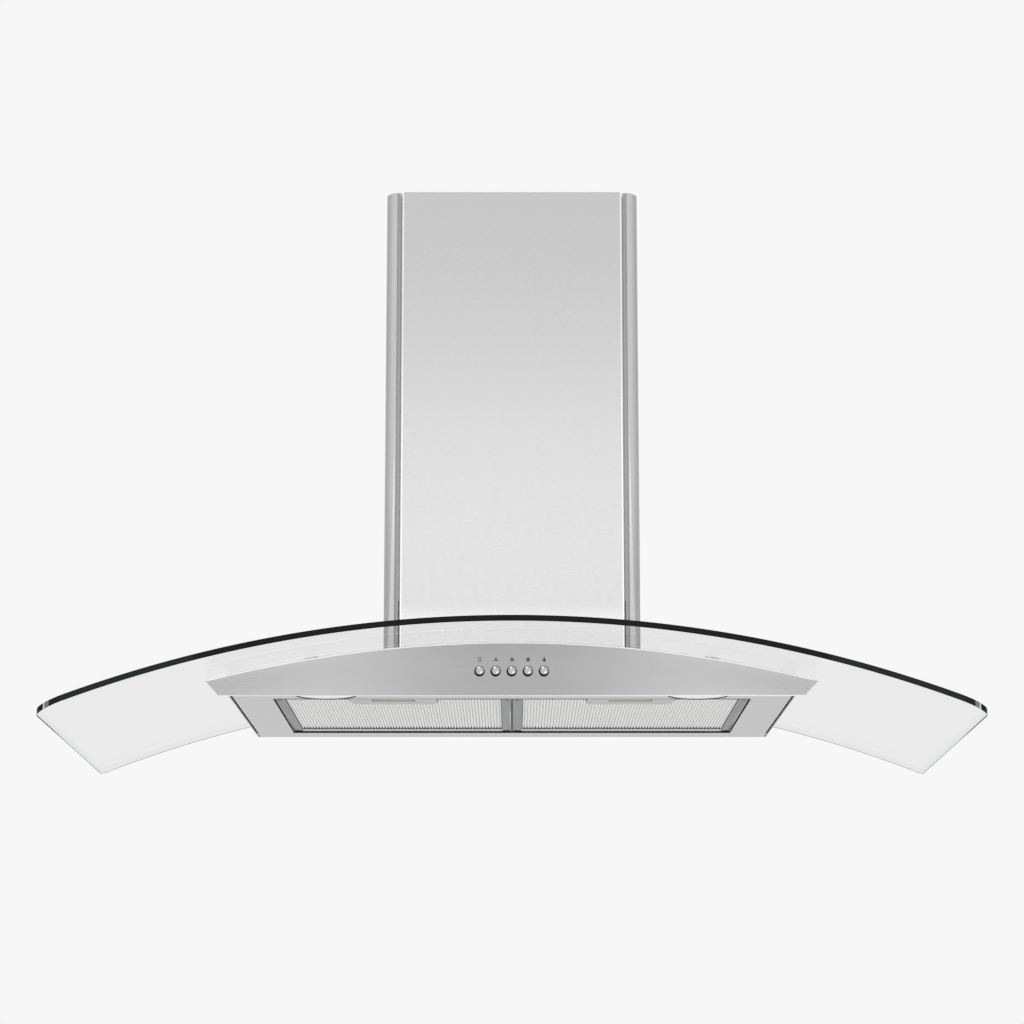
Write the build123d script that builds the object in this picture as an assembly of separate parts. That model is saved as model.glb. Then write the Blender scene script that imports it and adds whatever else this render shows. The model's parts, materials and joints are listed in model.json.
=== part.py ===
from build123d import *
import math
import os

# Curved glass range hood for a wall: an arched glass canopy over a shallow steel body with two
# mesh filters, a row of push buttons, two lamps, a fan in a steel box and a two-part chimney.
#
# Frame: the wall is the plane Y = 0 and the hood reaches out along -Y, +Z is up, +X is to the
# right of someone facing the hood. The origin is the middle of the body's lower rear edge.
# All sizes are in millimetres.

# ---- Glass canopy ----
glass_width = 900.0
glass_length = 468.0  # from the front edge to the back edge, along the pane
glass_thickness = 6.0
glass_radius = 1208.0  # lower skin of the arch
glass_tilt = 1.1  # degrees, the front edge sits higher than the back edge
glass_reach = 500.0  # wall to the front edge
glass_crown = 56.2  # top skin above the underside, in the middle of the front edge
glass_front_corner_radius = 28.0
glass_back_corner_radius = 4.0
notch_side_gap = 5.0  # fan box to the sides of the slot in the glass, which is open at the back
notch_front_gap = 4.0  # fan box to the front of that slot
gasket_thickness = 2.0
gasket_band = 12.0
gasket_inset = 2.0  # behind the body's outer faces

# ---- Steel body ----
sheet = 1.2
body_width = 564.0
fascia_reach = 387.0  # wall to the front face of the control panel
front_flange_height = 14.0
front_flange_side = 26.0
front_strip_height = 9.0
side_slot = 2.0  # dark slot between the underside panel and each side wall
rail_width = 9.0  # ledge that carries the underside panel
opening_back_land = 6.0  # rim of the filter opening, its depth at the back

# ---- Control panel ----
fascia_bottom_width = 574.0
fascia_flare = 0.9  # how far each end leans out, per unit of height
fascia_lip_drop = 6.0  # below the underside
fascia_return = 9.0
fascia_top_gap = 0.6
stud_radius = 2.0
stud_length = 10.0
stud_drop = 9.0  # stud axis below the glass
stud_positions = (70.0, 190.0)
stud_overrun = 0.6  # stud's foot inside the control panel's sheet

# ---- Push buttons ----
button_count = 5
button_pitch = 15.8
button_height = 19.0
button_radius = 4.0
button_reach = 3.2  # dome tip in front of the control panel
button_dome_height = 1.8
button_travel = 2.5
button_collar_radius = 4.7
button_collar_thickness = 1.0
button_stem_radius = 2.5
button_stem_length = 12.0
guide_wall = 0.6
guide_flange_radius = 6.0
guide_flange_thickness = 0.8
guide_proud = 0.3
guide_seat_gap = 0.1  # button's collar to its guide
button_stop_gap = 0.4  # pressed button's collar to the switch block
button_side_gap = 0.2
switch_block_width = 88.0
switch_block_depth = 26.0
switch_block_height = 17.0

# ---- Lamps ----
lamp_spacing = 369.0
lamp_setback = 35.0  # control panel's face back to the lamp's middle
lamp_flange_radius = 31.5
lamp_flange_thickness = 1.0
lamp_lens_radius = 29.2
lamp_lens_thickness = 2.2
lamp_lens_recess = 0.4
lamp_sleeve_wall = 1.0
lamp_sleeve_height = 7.0
lamp_cup_height = 14.0
lamp_cup_wall = 1.2
lamp_cup_core = 12.5  # radius of the lamp's heat sink
lamp_cup_core_height = 6.3
lamp_clip_width = 8.0
lamp_clip_reach = 4.0
lamp_clip_thickness = 1.0
lamp_fit_gap = 0.2  # lens to its sleeve, all round
lamp_lens_round = 0.5

# ---- Filter opening and filters ----
opening_width = 479.0
opening_setback = 68.5  # control panel's face back to the opening's front edge
opening_back = 36.0  # wall to the opening's back edge
opening_flange_height = 8.0
filter_width = 237.4
filter_middle_gap = 1.0  # between the two filters
filter_front_gap = 1.5
filter_back_gap = 13.0
filter_height = 6.2
filter_recess = 0.5  # filter's lower face above the underside's lower face
filter_sheet = 1.0
filter_side_border = 10.0
filter_front_border = 6.0
filter_back_border = 14.0
pleat_pitch = 3.12
pleat_sheet = 1.2  # measured upright
hinge_tab_width = 12.0
hinge_tab_spacing = 196.0
hinge_tab_reach = 8.0  # beyond the opening's back edge
hinge_tab_thickness = 1.2
hinge_tab_gap = 0.5  # above the underside panel
mesh_gap = 0.3  # mesh to the inside of its frame

# ---- Filter latches ----
latch_width = 87.0
latch_depth = 40.0
latch_bevel = 7.0
latch_proud = 0.4  # below the filter's lower face
latch_wall = 1.6
latch_pocket_width = 44.0
latch_pocket_depth = 16.0
latch_slider_width = 50.0
latch_slider_depth = 14.0
latch_slider_thickness = 1.8
latch_lip_thickness = 2.0
latch_tongue_width = 24.0
latch_travel = 5.0
latch_tip_gap = 0.3  # tongue tip to the opening's front flange
latch_fit_gap = 0.2  # housing to the filter frame
latch_plate_gap = 0.3  # sliding plate to the housing, front and tongue
latch_floor = 2.3  # underneath the sliding plate
latch_pocket_inset = 1.0  # pocket behind the housing's front wall
latch_lip_gap = 0.6  # finger lip to the pocket's ends
latch_stop_gap = 0.4  # open plate to its springs

# ---- Fan box and blower ----
fan_box_width = 236.0
fan_box_standoff = 6.0  # wall to its back face
fan_box_top = 282.0
fan_box_sheet = 1.0
fan_box_flange = 13.0
blower_reach = 128.0  # wall to the fan's axis
blower_height = 165.0
impeller_radius = 80.0
impeller_width = 92.0
impeller_bore_radius = 66.0
blade_count = 36  # on each side of the middle disc
blade_thickness = 1.0
blade_bulge = 3.1
blade_sweep = 2.5
impeller_disc = 2.0
impeller_rim = 1.0  # end rings outside the blades and the disc
impeller_ring_width = 8.0
impeller_ring_thickness = 3.0
impeller_hub_radius = 9.0
impeller_hub_length = 20.0
scroll_gap = 8.0  # impeller to the scroll at its cut-off
scroll_growth = 6.0  # added to the scroll's radius in each quarter turn
scroll_wall = 2.0
scroll_side_gap = 4.0  # impeller to each side wall
scroll_cutoff = 18.0  # outlet's inner wall behind the axis
scroll_flange = 7.0
scroll_flange_thickness = 2.0
scroll_lip_width = 3.0  # raised lip round each inlet
scroll_left_lip = 4.0
scroll_right_lip = 2.0
shaft_radius = 4.0
shaft_clearance = 0.05
shaft_end = 4.0  # beyond the motor
motor_radius = 42.0
motor_length = 46.0
motor_start = 14.0  # fan's middle plane to the motor's inner face
motor_inner_step = 6.0
motor_outer_step = 2.0
motor_end_radius = 30.0
motor_clamp_width = 4.0
motor_arm_width = 14.0
motor_arm_thickness = 3.0
motor_arm_overlap = 7.0
capacitor_radius = 16.0
capacitor_length = 68.0
capacitor_round = 2.0
capacitor_side = 78.0  # its axis to the left of the hood's middle
capacitor_inset = 44.0  # its axis behind the fan box's front

# ---- Duct collar and damper ----
duct_radius = 75.0
duct_wall = 1.2
duct_length = 45.0
duct_reach = 90.0  # wall to the duct's axis
collar_base_width = 158.0
collar_base_height = 12.0
collar_base_flange = 8.0
collar_screw_spacing = 100.0
damper_gap = 0.8  # flap to the duct's inner wall
damper_thickness = 1.0
damper_pin_radius = 1.2
damper_pin_offset = 3.4
damper_pin_height = 20.0  # above the collar's base
damper_knuckle_radius = 2.4
damper_end_gap = 1.0

# ---- Electrical box ----
terminal_box_width = 110.0
terminal_box_depth = 52.0
terminal_box_height = 34.0
terminal_box_wall = 2.0
terminal_lid_thickness = 2.5
terminal_box_offset = 34.0  # its middle to the right of the hood's middle
terminal_rear_gap = 12.0  # to the duct collar's flange
terminal_front_gap = 3.0  # to the fan box's front face
terminal_lid_step = 2.0
terminal_lid_gap = 0.3
wire_hole_radius = 7.0  # from the fan box into the electrical box
gland_spacing = 24.0  # cord gland's axis to the left of the electrical box
gland_radius = 9.0
gland_top_radius = 6.3
gland_length = 16.0
gland_neck_radius = 7.9
gland_neck_length = 6.0  # below the fan box's top sheet
gland_bore_radius = 4.5
gland_nut_flats = 22.0
gland_nut_thickness = 6.0

# ---- Chimney ----
chimney_side_gap = 14.5  # fan box to the chimney's side, outside to outside
chimney_front_gap = 21.0  # fan box to the chimney's front
chimney_top = 546.5
chimney_sheet = 1.0
chimney_strip_width = 17.0  # corner strip beside the front panel, seen from the front
chimney_strip_flat = 1.5  # flat part of the strip next to the joint
chimney_panel_joint = 0.6
chimney_return = 6.0
chimney_rear_flange = 12.0
chimney_fold = 0.8  # middle radius of a sharp fold
chimney_slide_gap = 0.7
chimney_glass_gap = 0.3
upper_chimney_bottom = 110.0
upper_chimney_sink = 3.0  # its top edge below the lower chimney's top edge
upper_chimney_rear_gap = 1.0
upper_chimney_corner = 11.0
upper_chimney_fold = 1.2
foot_bracket_length = 34.0
foot_bracket_height = 13.0
foot_bracket_bottom = 57.0
foot_screw_rise = 7.8  # screws above the channels' lower face
foot_screw_tip = 3.0

# ---- Wall fixing ----
wall_bracket_width = 200.0
wall_bracket_height = 90.0
wall_bracket_thickness = 3.0
wall_bracket_middle = 150.0  # height of its middle
wall_hole_spacing_x = 160.0
wall_hole_spacing_z = 60.0
wall_hole_radius = 4.0
spacer_radius = 8.0
safety_hole_spacing = 400.0
safety_hole_radius = 3.0
safety_hole_height = 10.0

# ---- Fasteners and clearances ----
touch_gap = 0.3  # between curved pieces that lie on each other
flat_gap = 0.1  # between flat pieces that are stacked or slide
thread_gap = 0.02
running_clearance = 0.06  # round pins, stems and buttons
hole_clearance = 0.3
cut = 1.0  # how far a cutting solid runs past the face it cuts
screw_radius = 2.0
screw_head_radius = 3.6
screw_head_height = 2.2
screw_length = 8.0
nut_flats = 7.0
nut_thickness = 3.2
glass_screw_radius = 2.5
glass_screw_head_radius = 8.0
glass_screw_head_height = 2.6
glass_screw_head_round = 1.5
glass_screw_tip = 1.0  # below its nut
glass_nut_flats = 9.0
glass_screw_side = 200.0
glass_screw_inset = 58.0  # rear pair in front of the glass's back edge
glass_screw_spacing = 240.0  # rear pair to front pair
glass_washer_thickness = 1.0
glass_hole_radius = 4.5

# ---- Worked out from the sizes above ----
above_all = 120.0  # taller than anything under the glass
glass_outer_radius = glass_radius + glass_thickness
body_half = body_width / 2
body_front = -(fascia_reach - sheet - touch_gap)
panel_half = body_half - sheet - side_slot
panel_front = body_front + sheet + touch_gap
panel_back = -(sheet + touch_gap)
fascia_inner = -(fascia_reach - sheet)
switch_front = fascia_inner + guide_flange_thickness
guide_inner_radius = button_radius + running_clearance
guide_outer_radius = button_radius + guide_wall
lamp_sleeve_radius = lamp_lens_radius + lamp_fit_gap + lamp_sleeve_wall
lamp_reach = fascia_reach - lamp_setback
opening_front = fascia_reach - opening_setback
filter_front = -(opening_front - filter_front_gap)
filter_back = -(opening_back + filter_back_gap)
filter_bottom = filter_recess
filter_top = filter_recess + filter_height
filter_inner = filter_middle_gap / 2
filter_centre = filter_inner + filter_width / 2
latch_bottom = filter_bottom - latch_proud
latch_front = filter_front + filter_sheet + latch_fit_gap
latch_back = latch_front + latch_depth
latch_slider_bottom = latch_bottom + latch_floor
latch_slider_front = latch_front + latch_wall + latch_plate_gap
box_half = fan_box_width / 2
box_inner = box_half - fan_box_sheet
collar_front = duct_reach + collar_base_width / 2 + collar_base_flange
terminal_reach = collar_front + terminal_rear_gap + terminal_box_depth
fan_box_reach = terminal_reach + terminal_front_gap
notch_half = box_half + notch_side_gap
notch_reach = fan_box_reach + notch_front_gap
blower_y = -blower_reach
scroll_half = impeller_width / 2 + scroll_side_gap + scroll_wall
scroll_top = fan_box_top - fan_box_sheet
collar_bottom = fan_box_top
collar_floor = collar_bottom + collar_base_height
duct_y = -duct_reach
duct_inner_radius = duct_radius - duct_wall
chimney_half = box_half + chimney_side_gap
chimney_reach = fan_box_reach + chimney_front_gap
chimney_inner = chimney_half - chimney_sheet
panel_joint_x = chimney_half - chimney_strip_width
upper_half = chimney_inner - chimney_slide_gap
upper_front = -(chimney_reach - chimney_sheet - chimney_return - chimney_slide_gap)
upper_back = -(chimney_sheet + upper_chimney_rear_gap)
terminal_y = -(terminal_reach - terminal_box_depth / 2)
terminal_left = terminal_box_offset - terminal_box_width / 2
terminal_right = terminal_box_offset + terminal_box_width / 2
gland_x = terminal_left - gland_spacing


# ---- Helpers ----
def block(x0, x1, y0, y1, z0, z1):
    """A box between two opposite corners, given in any order."""
    middle = Pos((x0 + x1) / 2, (y0 + y1) / 2, (z0 + z1) / 2)
    return middle * Box(abs(x1 - x0), abs(y1 - y0), abs(z1 - z0))


def rod(radius, x, y, z0, z1):
    """An upright cylinder."""
    return Pos(x, y, (z0 + z1) / 2) * Cylinder(radius, abs(z1 - z0))


def rod_x(radius, x0, x1, y, z):
    """A cylinder along X."""
    return Pos((x0 + x1) / 2, y, z) * Rot(0, 90, 0) * Cylinder(radius, abs(x1 - x0))


def rod_y(radius, x, y0, y1, z):
    """A cylinder along Y."""
    return Pos(x, (y0 + y1) / 2, z) * Rot(90, 0, 0) * Cylinder(radius, abs(y1 - y0))


def hexagon(flats, thickness):
    """A flat hexagonal nut blank, centred."""
    across = RegularPolygon(flats / 2, 6, major_radius=False)
    return Pos(0, 0, -thickness / 2) * extrude(across, thickness)


glass_seat = Pos(0, -glass_reach, glass_crown) * Rot(-glass_tilt, 0, 0)


def under_glass(drop):
    """All the space below the glass's lower skin, lowered by a drop."""
    axis = Pos(0, glass_length / 2, -glass_outer_radius) * Rot(90, 0, 0)
    return glass_seat * axis * Cylinder(glass_radius - drop, 3 * glass_reach)


def skin_height(x, y):
    """Height of the glass's lower skin above a point of the plan."""
    sag = -(glass_outer_radius - math.sqrt(glass_radius**2 - x**2))
    tilt = math.radians(glass_tilt)
    along = (y + glass_reach - sag * math.sin(tilt)) / math.cos(tilt)
    return glass_crown - along * math.sin(tilt) + sag * math.cos(tilt)


def on_glass(x, y):
    """A place on the glass's top skin, with its Z axis square to the glass."""
    lean = math.degrees(math.asin(x / glass_outer_radius))
    along = (y + glass_reach) / math.cos(math.radians(glass_tilt))
    centre = Pos(0, along, -glass_outer_radius)
    return glass_seat * centre * Rot(0, lean, 0) * Pos(0, 0, glass_outer_radius)


def glass_screw_places():
    rear = glass_reach - glass_length + glass_screw_inset
    for side in (-1, 1):
        for reach in (rear + glass_screw_spacing, rear):
            yield on_glass(side * glass_screw_side, -reach)


# ---- Glass canopy ----
def glass_canopy():
    axis = Pos(0, glass_length / 2, -glass_outer_radius) * Rot(90, 0, 0)
    shell = Cylinder(glass_outer_radius, glass_length) - Cylinder(glass_radius, glass_length)
    plan = Rectangle(glass_width, glass_length)
    plan = fillet(plan.vertices().group_by(Axis.Y)[0], glass_front_corner_radius)
    plan = fillet(plan.vertices().group_by(Axis.Y)[-1], glass_back_corner_radius)
    depth = glass_outer_radius
    prism = Pos(0, glass_length / 2, -depth / 2) * extrude(plan, depth)
    pane = glass_seat * ((axis * shell) & prism)
    pane -= block(-notch_half, notch_half, -notch_reach, 0, -above_all, above_all)
    for place in glass_screw_places():
        pane -= place * Cylinder(glass_hole_radius, 4 * glass_thickness)
    return pane


def glass_gasket():
    """Rubber band between the body's top and the glass, all round the body."""
    half = body_half - gasket_inset
    front = body_front + gasket_inset
    back = -(glass_reach - glass_length) - gasket_inset
    inner = half - gasket_band
    ring = block(-half, half, front, back, 0, above_all)
    ring -= block(-inner, inner, front + gasket_band, back - gasket_band, -cut, above_all + cut)
    ring = (ring & under_glass(flat_gap)) - under_glass(gasket_thickness - flat_gap)
    return ring - block(-notch_half, notch_half, -notch_reach, 0, -cut, above_all)


def glass_screws():
    """Four low cap screws with their nuts under the body's top sheet."""
    under = glass_thickness + gasket_thickness + sheet
    reach = glass_washer_thickness + under + nut_thickness + glass_screw_tip
    pieces = []
    for place in glass_screw_places():
        top = glass_washer_thickness + glass_screw_head_height
        head = Pos(0, 0, top - glass_screw_head_height / 2)
        screw = head * Cylinder(glass_screw_head_radius, glass_screw_head_height)
        screw = fillet(screw.edges().group_by(Axis.Z)[-1], glass_screw_head_round)
        shank = Cylinder(glass_screw_radius, reach)
        screw += Pos(0, 0, glass_washer_thickness - reach / 2) * shank
        nut = hexagon(glass_nut_flats, nut_thickness)
        nut -= Cylinder(glass_screw_radius, 2 * nut_thickness)
        pieces.append(place * screw)
        pieces.append(place * Pos(0, 0, -under - nut_thickness / 2 - flat_gap) * nut)
    return Compound(children=pieces)


def glass_washers():
    """Soft bushes that keep the screws off the glass, above, through and below it."""
    pieces = []
    for place in glass_screw_places():
        height = glass_thickness + gasket_thickness + glass_washer_thickness - 2 * flat_gap
        bush = Pos(0, 0, glass_washer_thickness - height / 2)
        bush = bush * Cylinder(glass_hole_radius - 2 * flat_gap, height)
        rim = Cylinder(glass_screw_head_radius, glass_washer_thickness - flat_gap)
        bush += Pos(0, 0, (glass_washer_thickness + flat_gap) / 2) * rim
        foot = Cylinder(glass_screw_head_radius, gasket_thickness - 3 * flat_gap)
        bush += Pos(0, 0, -glass_thickness - gasket_thickness / 2) * foot
        bush -= Cylinder(glass_screw_radius + flat_gap, 3 * height)
        pieces.append(place * bush)
    return Compound(children=pieces)


# ---- Steel body ----
def hood_body():
    top = gasket_thickness
    outer = block(-body_half, body_half, body_front, 0, 0, above_all) & under_glass(top)
    inner_half = body_half - sheet
    inner = block(-inner_half, inner_half, body_front + sheet, -sheet, -cut, above_all)
    inner = inner & under_glass(top + sheet)
    body = outer - inner
    window_half = body_half - front_flange_side
    window = block(-window_half, window_half, body_front - cut, body_front + 2 * sheet,
                   front_strip_height, above_all)
    body -= window & under_glass(top + front_flange_height)
    air = box_half - fan_box_flange
    air_front = -(fan_box_reach - fan_box_flange)
    air_back = -(fan_box_standoff + fan_box_flange)
    body -= block(-air, air, air_front, air_back, 4 * sheet, above_all)
    for side in (-1, 1):
        rail_x = side * inner_half
        body += block(rail_x, rail_x - side * rail_width, body_front + sheet, -sheet,
                      sheet, 2 * sheet)
        body -= rod_y(safety_hole_radius, side * safety_hole_spacing / 2, -3 * sheet, cut,
                      safety_hole_height)
        for x in stud_positions:
            hole_z = skin_height(x, -fascia_reach) - stud_drop
            body -= rod_y(stud_radius + hole_clearance, side * x, body_front - cut,
                          body_front + sheet + cut, hole_z)
    for place in glass_screw_places():
        hole = Cylinder(glass_screw_radius + hole_clearance, 8 * sheet)
        body -= place * Pos(0, 0, -glass_thickness - gasket_thickness) * hole
    for x, y in fan_box_screw_places():
        body -= rod(screw_radius + hole_clearance, x, y, 4 * sheet, above_all)
    return body


def underside_panel():
    half = opening_width / 2
    panel = block(-panel_half, panel_half, panel_front, panel_back, 0, sheet)
    rim_half = half + sheet
    rim_back = -(opening_back + opening_back_land)
    panel += block(-rim_half, rim_half, -(opening_front + sheet), rim_back, 0,
                   opening_flange_height)
    panel -= block(-half, half, -opening_front, -opening_back, -cut, above_all)
    for side in (-1, 1):
        x = side * lamp_spacing / 2
        panel -= rod(lamp_sleeve_radius + hole_clearance, x, -lamp_reach, -cut, 2 * sheet)
    return panel


def fascia_outline(inset):
    """The control panel's shape seen from the front, before the glass cuts its top."""
    slant = math.hypot(1, fascia_flare)
    bottom = -fascia_lip_drop + inset
    half = fascia_bottom_width / 2 - inset * slant + inset * fascia_flare
    rise = above_all + fascia_lip_drop - inset
    corners = [
        (-half, bottom),
        (half, bottom),
        (half + rise * fascia_flare, bottom + rise),
        (-half - rise * fascia_flare, bottom + rise),
    ]
    return make_face(Polyline(*corners, close=True))


def fascia_slab(inset, y0, y1):
    return extrude(Plane.XZ.offset(-y1) * fascia_outline(inset), y1 - y0)


def control_fascia():
    fascia = fascia_slab(0, -fascia_reach, -fascia_reach + fascia_return)
    fascia -= fascia_slab(sheet, fascia_inner, -fascia_reach + fascia_return + cut)
    fascia = fascia & under_glass(fascia_top_gap)
    for x in button_places():
        fascia -= rod_y(guide_outer_radius + running_clearance, x, -fascia_reach - cut,
                        fascia_inner + cut, button_height)
    for side in (-1, 1):
        for x in stud_positions:
            z = skin_height(x, -fascia_reach) - stud_drop
            fascia += rod_y(stud_radius, side * x, fascia_inner - stud_overrun,
                            fascia_inner + stud_length, z)
    return fascia


def fascia_nuts():
    """Nuts that pull the control panel's studs against the body's front flange."""
    pieces = []
    y = body_front + sheet + nut_thickness / 2
    for side in (-1, 1):
        for x in stud_positions:
            z = skin_height(x, -fascia_reach) - stud_drop
            nut = hexagon(nut_flats, nut_thickness)
            nut -= Cylinder(stud_radius + thread_gap, 2 * nut_thickness)
            pieces.append(Pos(side * x, y, z) * Rot(90, 0, 0) * nut)
    return Compound(children=pieces)


# ---- Push buttons ----
def button_places():
    first = -(button_count - 1) / 2 * button_pitch
    return [first + i * button_pitch for i in range(button_count)]


def push_button(x):
    face = -(fascia_reach + button_reach)
    collar = switch_front + guide_seat_gap
    ball = (button_radius**2 + button_dome_height**2) / (2 * button_dome_height)
    turn = math.asin(button_radius / ball) / 2
    middle = (ball * math.sin(turn), ball - ball * math.cos(turn))
    shoulder = (button_radius, button_dome_height)
    back = collar - face
    half = make_face([
        ThreePointArc((0, 0), middle, shoulder),
        Polyline(shoulder, (button_radius, back), (0, back), (0, 0)),
    ])
    button = Pos(x, face, button_height) * revolve(half, Axis.Y)
    collar_end = collar + button_collar_thickness
    button += rod_y(button_collar_radius, x, collar, collar_end, button_height)
    stem_end = collar_end + button_stem_length
    button += rod_y(button_stem_radius, x, collar_end, stem_end, button_height)
    return button


def button_guides():
    """Black rings that line the control panel's holes."""
    pieces = []
    for x in button_places():
        ring = rod_y(guide_outer_radius, x, -fascia_reach - guide_proud, switch_front,
                     button_height)
        ring += rod_y(guide_flange_radius, x, fascia_inner, switch_front, button_height)
        ring -= rod_y(guide_inner_radius, x, -fascia_reach - guide_proud - cut,
                      switch_front + cut, button_height)
        pieces.append(ring)
    return Compound(children=pieces)


def switch_block():
    half = switch_block_width / 2
    back = switch_front + switch_block_depth
    low = button_height - switch_block_height / 2
    block_body = block(-half, half, switch_front, back, low, low + switch_block_height)
    seat_depth = guide_seat_gap + button_collar_thickness + button_travel + button_stop_gap
    stem_depth = seat_depth + button_stem_length + button_travel
    for x in button_places():
        block_body -= rod_y(button_collar_radius + button_side_gap, x, switch_front - cut,
                            switch_front + seat_depth, button_height)
        block_body -= rod_y(button_stem_radius + running_clearance, x, switch_front,
                            switch_front + stem_depth, button_height)
    return block_body


# ---- Lamps ----
def lamp_bezel(side):
    x = side * lamp_spacing / 2
    y = -lamp_reach
    ring = rod(lamp_flange_radius, x, y, -lamp_flange_thickness, 0)
    ring += rod(lamp_sleeve_radius, x, y, -lamp_flange_thickness, lamp_sleeve_height)
    ring -= rod(lamp_sleeve_radius - lamp_sleeve_wall, x, y, -above_all, above_all)
    for turn in (-1, 1):
        clip_start = x + turn * (lamp_sleeve_radius - lamp_sleeve_wall / 2)
        clip_end = x + turn * (lamp_sleeve_radius + lamp_clip_reach)
        half = lamp_clip_width / 2
        low = sheet + flat_gap
        ring += block(clip_start, clip_end, y - half, y + half, low, low + lamp_clip_thickness)
    return ring


def lamp_lens(side):
    x = side * lamp_spacing / 2
    bottom = -lamp_flange_thickness + lamp_lens_recess
    lens = rod(lamp_lens_radius, x, -lamp_reach, bottom, bottom + lamp_lens_thickness)
    return fillet(lens.edges().group_by(Axis.Z)[0], lamp_lens_round)


def lamp_cup(side):
    """Lamp housing pushed into the bezel's sleeve, open towards the lens."""
    x = side * lamp_spacing / 2
    y = -lamp_reach
    bottom = -lamp_flange_thickness + lamp_lens_recess + lamp_lens_thickness + flat_gap
    outer = lamp_lens_radius - flat_gap
    ceiling = bottom + lamp_cup_height - lamp_cup_wall
    cup = rod(outer, x, y, bottom, bottom + lamp_cup_height)
    cup -= rod(outer - lamp_cup_wall, x, y, bottom - cut, ceiling)
    cup += rod(lamp_cup_core, x, y, ceiling - lamp_cup_core_height, ceiling)
    return cup


# ---- Filters ----
def filter_x(side, offset):
    """X of a point given from the filter's middle, positive away from the hood's middle."""
    return side * (filter_centre + offset)


def latch_envelope(side, grow):
    """The latch housing's outline as a solid, grown on its sides."""
    half = latch_width / 2 + grow
    front = latch_front - grow
    back = latch_back + grow
    corners = [
        (-half + latch_bevel, back),
        (-half, back - latch_bevel),
        (-half, front),
        (half, front),
        (half, back - latch_bevel),
        (half - latch_bevel, back),
    ]
    plan = Pos(filter_x(side, 0), 0, latch_bottom) * make_face(Polyline(*corners, close=True))
    return extrude(plan, filter_top - filter_sheet - flat_gap - latch_bottom)


def filter_frame(side):
    half = filter_width / 2
    frame = block(filter_x(side, -half), filter_x(side, half), filter_front, filter_back,
                  filter_bottom, filter_top)
    wall = filter_sheet
    frame -= block(filter_x(side, -half + wall), filter_x(side, half - wall),
                   filter_front + wall, filter_back - wall,
                   filter_bottom + wall, filter_top - wall)
    rim = filter_side_border
    frame -= block(filter_x(side, -half + rim), filter_x(side, half - rim),
                   filter_front + filter_front_border, filter_back - filter_back_border,
                   filter_bottom - cut, filter_top + cut)
    frame -= latch_envelope(side, latch_fit_gap)
    tongue = latch_tongue_width / 2 + 2 * latch_plate_gap
    slot_bottom = latch_slider_bottom - latch_plate_gap
    frame -= block(filter_x(side, -tongue), filter_x(side, tongue), filter_front - cut,
                   filter_front + 2 * wall, slot_bottom,
                   slot_bottom + latch_slider_thickness + 2 * latch_plate_gap)
    for place in (-1, 1):
        x = place * hinge_tab_spacing / 2
        reach = hinge_tab_width / 2
        low = sheet + hinge_tab_gap
        frame += block(filter_x(side, x - reach), filter_x(side, x + reach),
                       filter_back - wall / 2, -opening_back + hinge_tab_reach,
                       low, low + hinge_tab_thickness)
    return frame


def filter_mesh(side):
    """Pleated metal mesh, its folds running from front to back."""
    span = filter_width - 2 * (filter_sheet + mesh_gap)
    count = int(span / pleat_pitch)
    span = count * pleat_pitch
    low = filter_bottom + filter_sheet + flat_gap
    high = filter_top - filter_sheet - flat_gap - pleat_sheet
    ridge = [(-span / 2 + i * pleat_pitch / 2, low if i % 2 else high)
             for i in range(2 * count + 1)]
    upper = [(x, z + pleat_sheet) for x, z in reversed(ridge)]
    front = filter_front + filter_sheet + mesh_gap
    back = filter_back - filter_sheet - mesh_gap
    profile = make_face(Polyline(*(ridge + upper), close=True))
    mesh = extrude(Plane.XZ.offset(-back) * profile, back - front)
    mesh = Pos(filter_x(side, 0), 0, 0) * mesh
    reach = latch_width / 2 + latch_fit_gap + mesh_gap
    mesh -= block(filter_x(side, -reach), filter_x(side, reach), front - cut,
                  latch_back + latch_fit_gap + mesh_gap, -cut, above_all)
    return mesh


def latch_housing(side):
    housing = latch_envelope(side, 0)
    hollow = latch_slider_width / 2 + latch_plate_gap
    floor = latch_slider_bottom - 2 * flat_gap
    ceiling = latch_slider_bottom + latch_slider_thickness + 2 * flat_gap
    cavity_back = latch_back - latch_wall
    housing -= block(filter_x(side, -hollow), filter_x(side, hollow),
                     latch_front + latch_wall, cavity_back, floor, ceiling)
    pocket = latch_pocket_width / 2
    pocket_front = latch_front + latch_wall + latch_pocket_inset
    housing -= block(filter_x(side, -pocket), filter_x(side, pocket), pocket_front,
                     pocket_front + latch_pocket_depth, latch_bottom - cut,
                     latch_slider_bottom + flat_gap)
    tongue = latch_tongue_width / 2 + latch_plate_gap
    housing -= block(filter_x(side, -tongue), filter_x(side, tongue), latch_front - cut,
                     latch_front + 2 * latch_wall, floor, ceiling)
    return housing


def filter_latch(side):
    """Sliding plate with a finger lip in the pocket and a tongue at the front."""
    half = latch_slider_width / 2
    front = latch_slider_front
    low = latch_slider_bottom
    high = low + latch_slider_thickness
    latch = block(filter_x(side, -half), filter_x(side, half), front,
                  front + latch_slider_depth, low, high)
    tongue = latch_tongue_width / 2
    tip = -opening_front + latch_tip_gap
    latch += block(filter_x(side, -tongue), filter_x(side, tongue), tip, front + cut, low, high)
    lip = latch_pocket_width / 2 - latch_lip_gap
    lip_back = front + latch_slider_depth - latch_travel - latch_lip_gap
    latch += block(filter_x(side, -lip), filter_x(side, lip), lip_back - latch_lip_thickness,
                   lip_back, latch_bottom + latch_plate_gap, low + latch_plate_gap)
    return latch


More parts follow.
